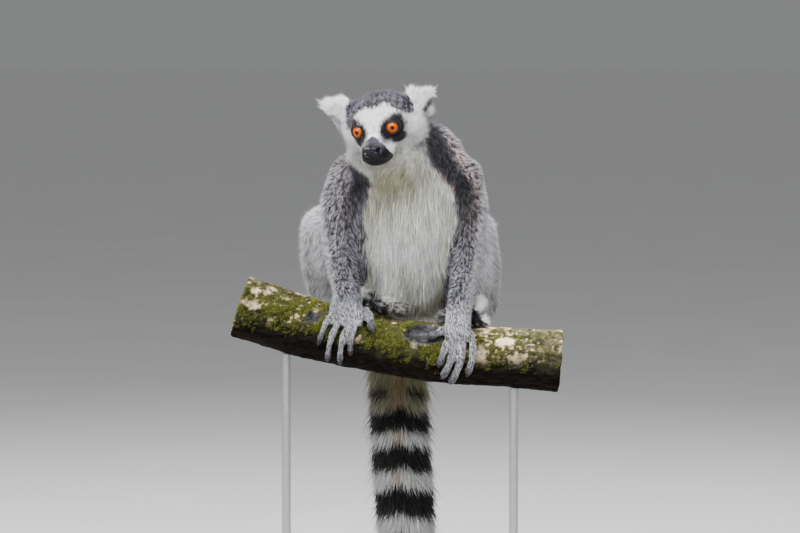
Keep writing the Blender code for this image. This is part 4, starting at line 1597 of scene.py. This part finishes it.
def make_moss(branch, moss):
    """Short moss leaves on the branch where its colour is green."""
    rng = np.random.default_rng(SEED + 99)
    count, mesh = MOSS_LEAVES, branch.data
    triangles = triangles_of(mesh)
    share = moss[triangles].mean(1) ** 1.5
    face = rng.choice(len(triangles), count, p=share / share.sum())
    weights = rng.dirichlet((1, 1, 1), count)[:, :, None]
    root = (points_of(mesh)[triangles[face]] * weights).sum(1)
    normal = unit((normals_of(mesh)[triangles[face]] * weights).sum(1))
    away = unit(normal + 0.75 * rng.normal(size=(count, 3)))
    length = rng.uniform(0.8, 2.6, count) * MM
    side = unit(np.cross(away, rng.normal(size=(count, 3))))
    deep = np.cross(away, side)
    half = rng.uniform(0.25, 0.55, count) * MM
    corners = [
        root + side * (half * math.cos(turn))[:, None] + deep * (half * 0.6 * math.sin(turn))[:, None]
        for turn in 2 * math.pi * np.arange(3) / 3
    ]
    corners.append(root + away * length[:, None])
    leaves, _ = tufts_object("moss", np.stack(corners, 1), tuft_shape(False)[0])
    tone = rng.random(count)[:, None] ** 1.7
    tint = (np.array(MOSS) * (1 - tone) + np.array(MOSS_LIGHT) * tone)[:, None, :]
    paint(leaves, (tint * np.array((0.6, 0.6, 0.6, 1.35))[:, None]).reshape(-1, 3))
    return finish_piece(leaves, "bark", MOSS_MATERIAL)


# ---------------------------------------------------------------- studio


def make_camera():
    camera = add_object("camera", bpy.data.cameras.new("camera"))
    camera.data.lens = LENS
    back = Vector((0, -math.cos(CAMERA_RISE), math.sin(CAMERA_RISE)))
    camera.location = LOOK + back * CAMERA_REACH
    camera.rotation_euler = (-back).to_track_quat("-Z", "Y").to_euler()
    bpy.context.scene.camera = camera


def make_light(name, place, size, power):
    lamp = add_object(name, bpy.data.lights.new(name, "AREA"))
    lamp.data.size = size
    lamp.data.energy = power
    lamp.location = place
    lamp.rotation_euler = (LOOK - Vector(place)).to_track_quat("-Z", "Y").to_euler()
    lamp.visible_camera = False


def make_studio():
    """A plain floor under a sky that meets it in the same grey, and soft lamps."""
    look = Look(bpy.data.worlds.new("studio"), "Background")
    up = look.add("ShaderNodeSeparateXYZ", look.place("Generated")).outputs["Z"]
    horizon, low, high = (0.505, 0.512, 0.518), (0.51, 0.517, 0.524), (0.95, 0.96, 0.98)
    look.feed(Color=look.ramp(up, (0.0, horizon), (0.03, low), (0.35, high)))
    look.shader.inputs["Strength"].default_value = WORLD_LIGHT
    bpy.context.scene.world = look.owner
    bpy.ops.mesh.primitive_plane_add(size=400, location=(0, 0, 0))
    floor = bpy.context.active_object
    floor.name = "studio_floor"
    use_materials(floor, make_floor_material())
    for name, (place, size, power) in LAMPS.items():
        make_light(name, place, size, power)


# ---------------------------------------------------------------- all of it

for name in ("Cube", "Light", "Camera"):
    if bpy.data.objects.get(name):
        bpy.data.objects.remove(bpy.data.objects[name])
HEAD_TO_MODEL, HEAD_MIDDLE = head_axes()
FLESH_TREE = flesh_tree()
PERCH_AXIS = perch_axis()
FUR, SKIN = make_fur_material(), make_skin_material()
EYEBALL, NAIL = make_eye_material(), make_nail_material()
BARK_MATERIAL, MOSS_MATERIAL = make_bark_material(), make_moss_material()
WOOD, STEEL = make_base_material(), make_rod_material()
make_camera()
skin, skin_parts = make_skin()
lids = clothe_skin(skin, skin_parts)
ground = coat_ground(skin, skin_parts)
for number, row in enumerate(PIECES):
    grow(*row, ground, SEED + number)
select_only(skin, lids)
bpy.ops.object.join()
finish_piece(skin, "white_coat", SKIN)
for name in flesh_nodes():
    if not name.startswith("eye"):
        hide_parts(name)
make_eye("left", 1)
make_eye("right", -1)
for part in PALMS:
    make_nails(part)
make_moss(*make_branch())
for name, material in (("stand_base", WOOD), ("stand_rod_left", STEEL), ("stand_rod_right", STEEL)):
    use_materials(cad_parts[name], material)
make_studio()
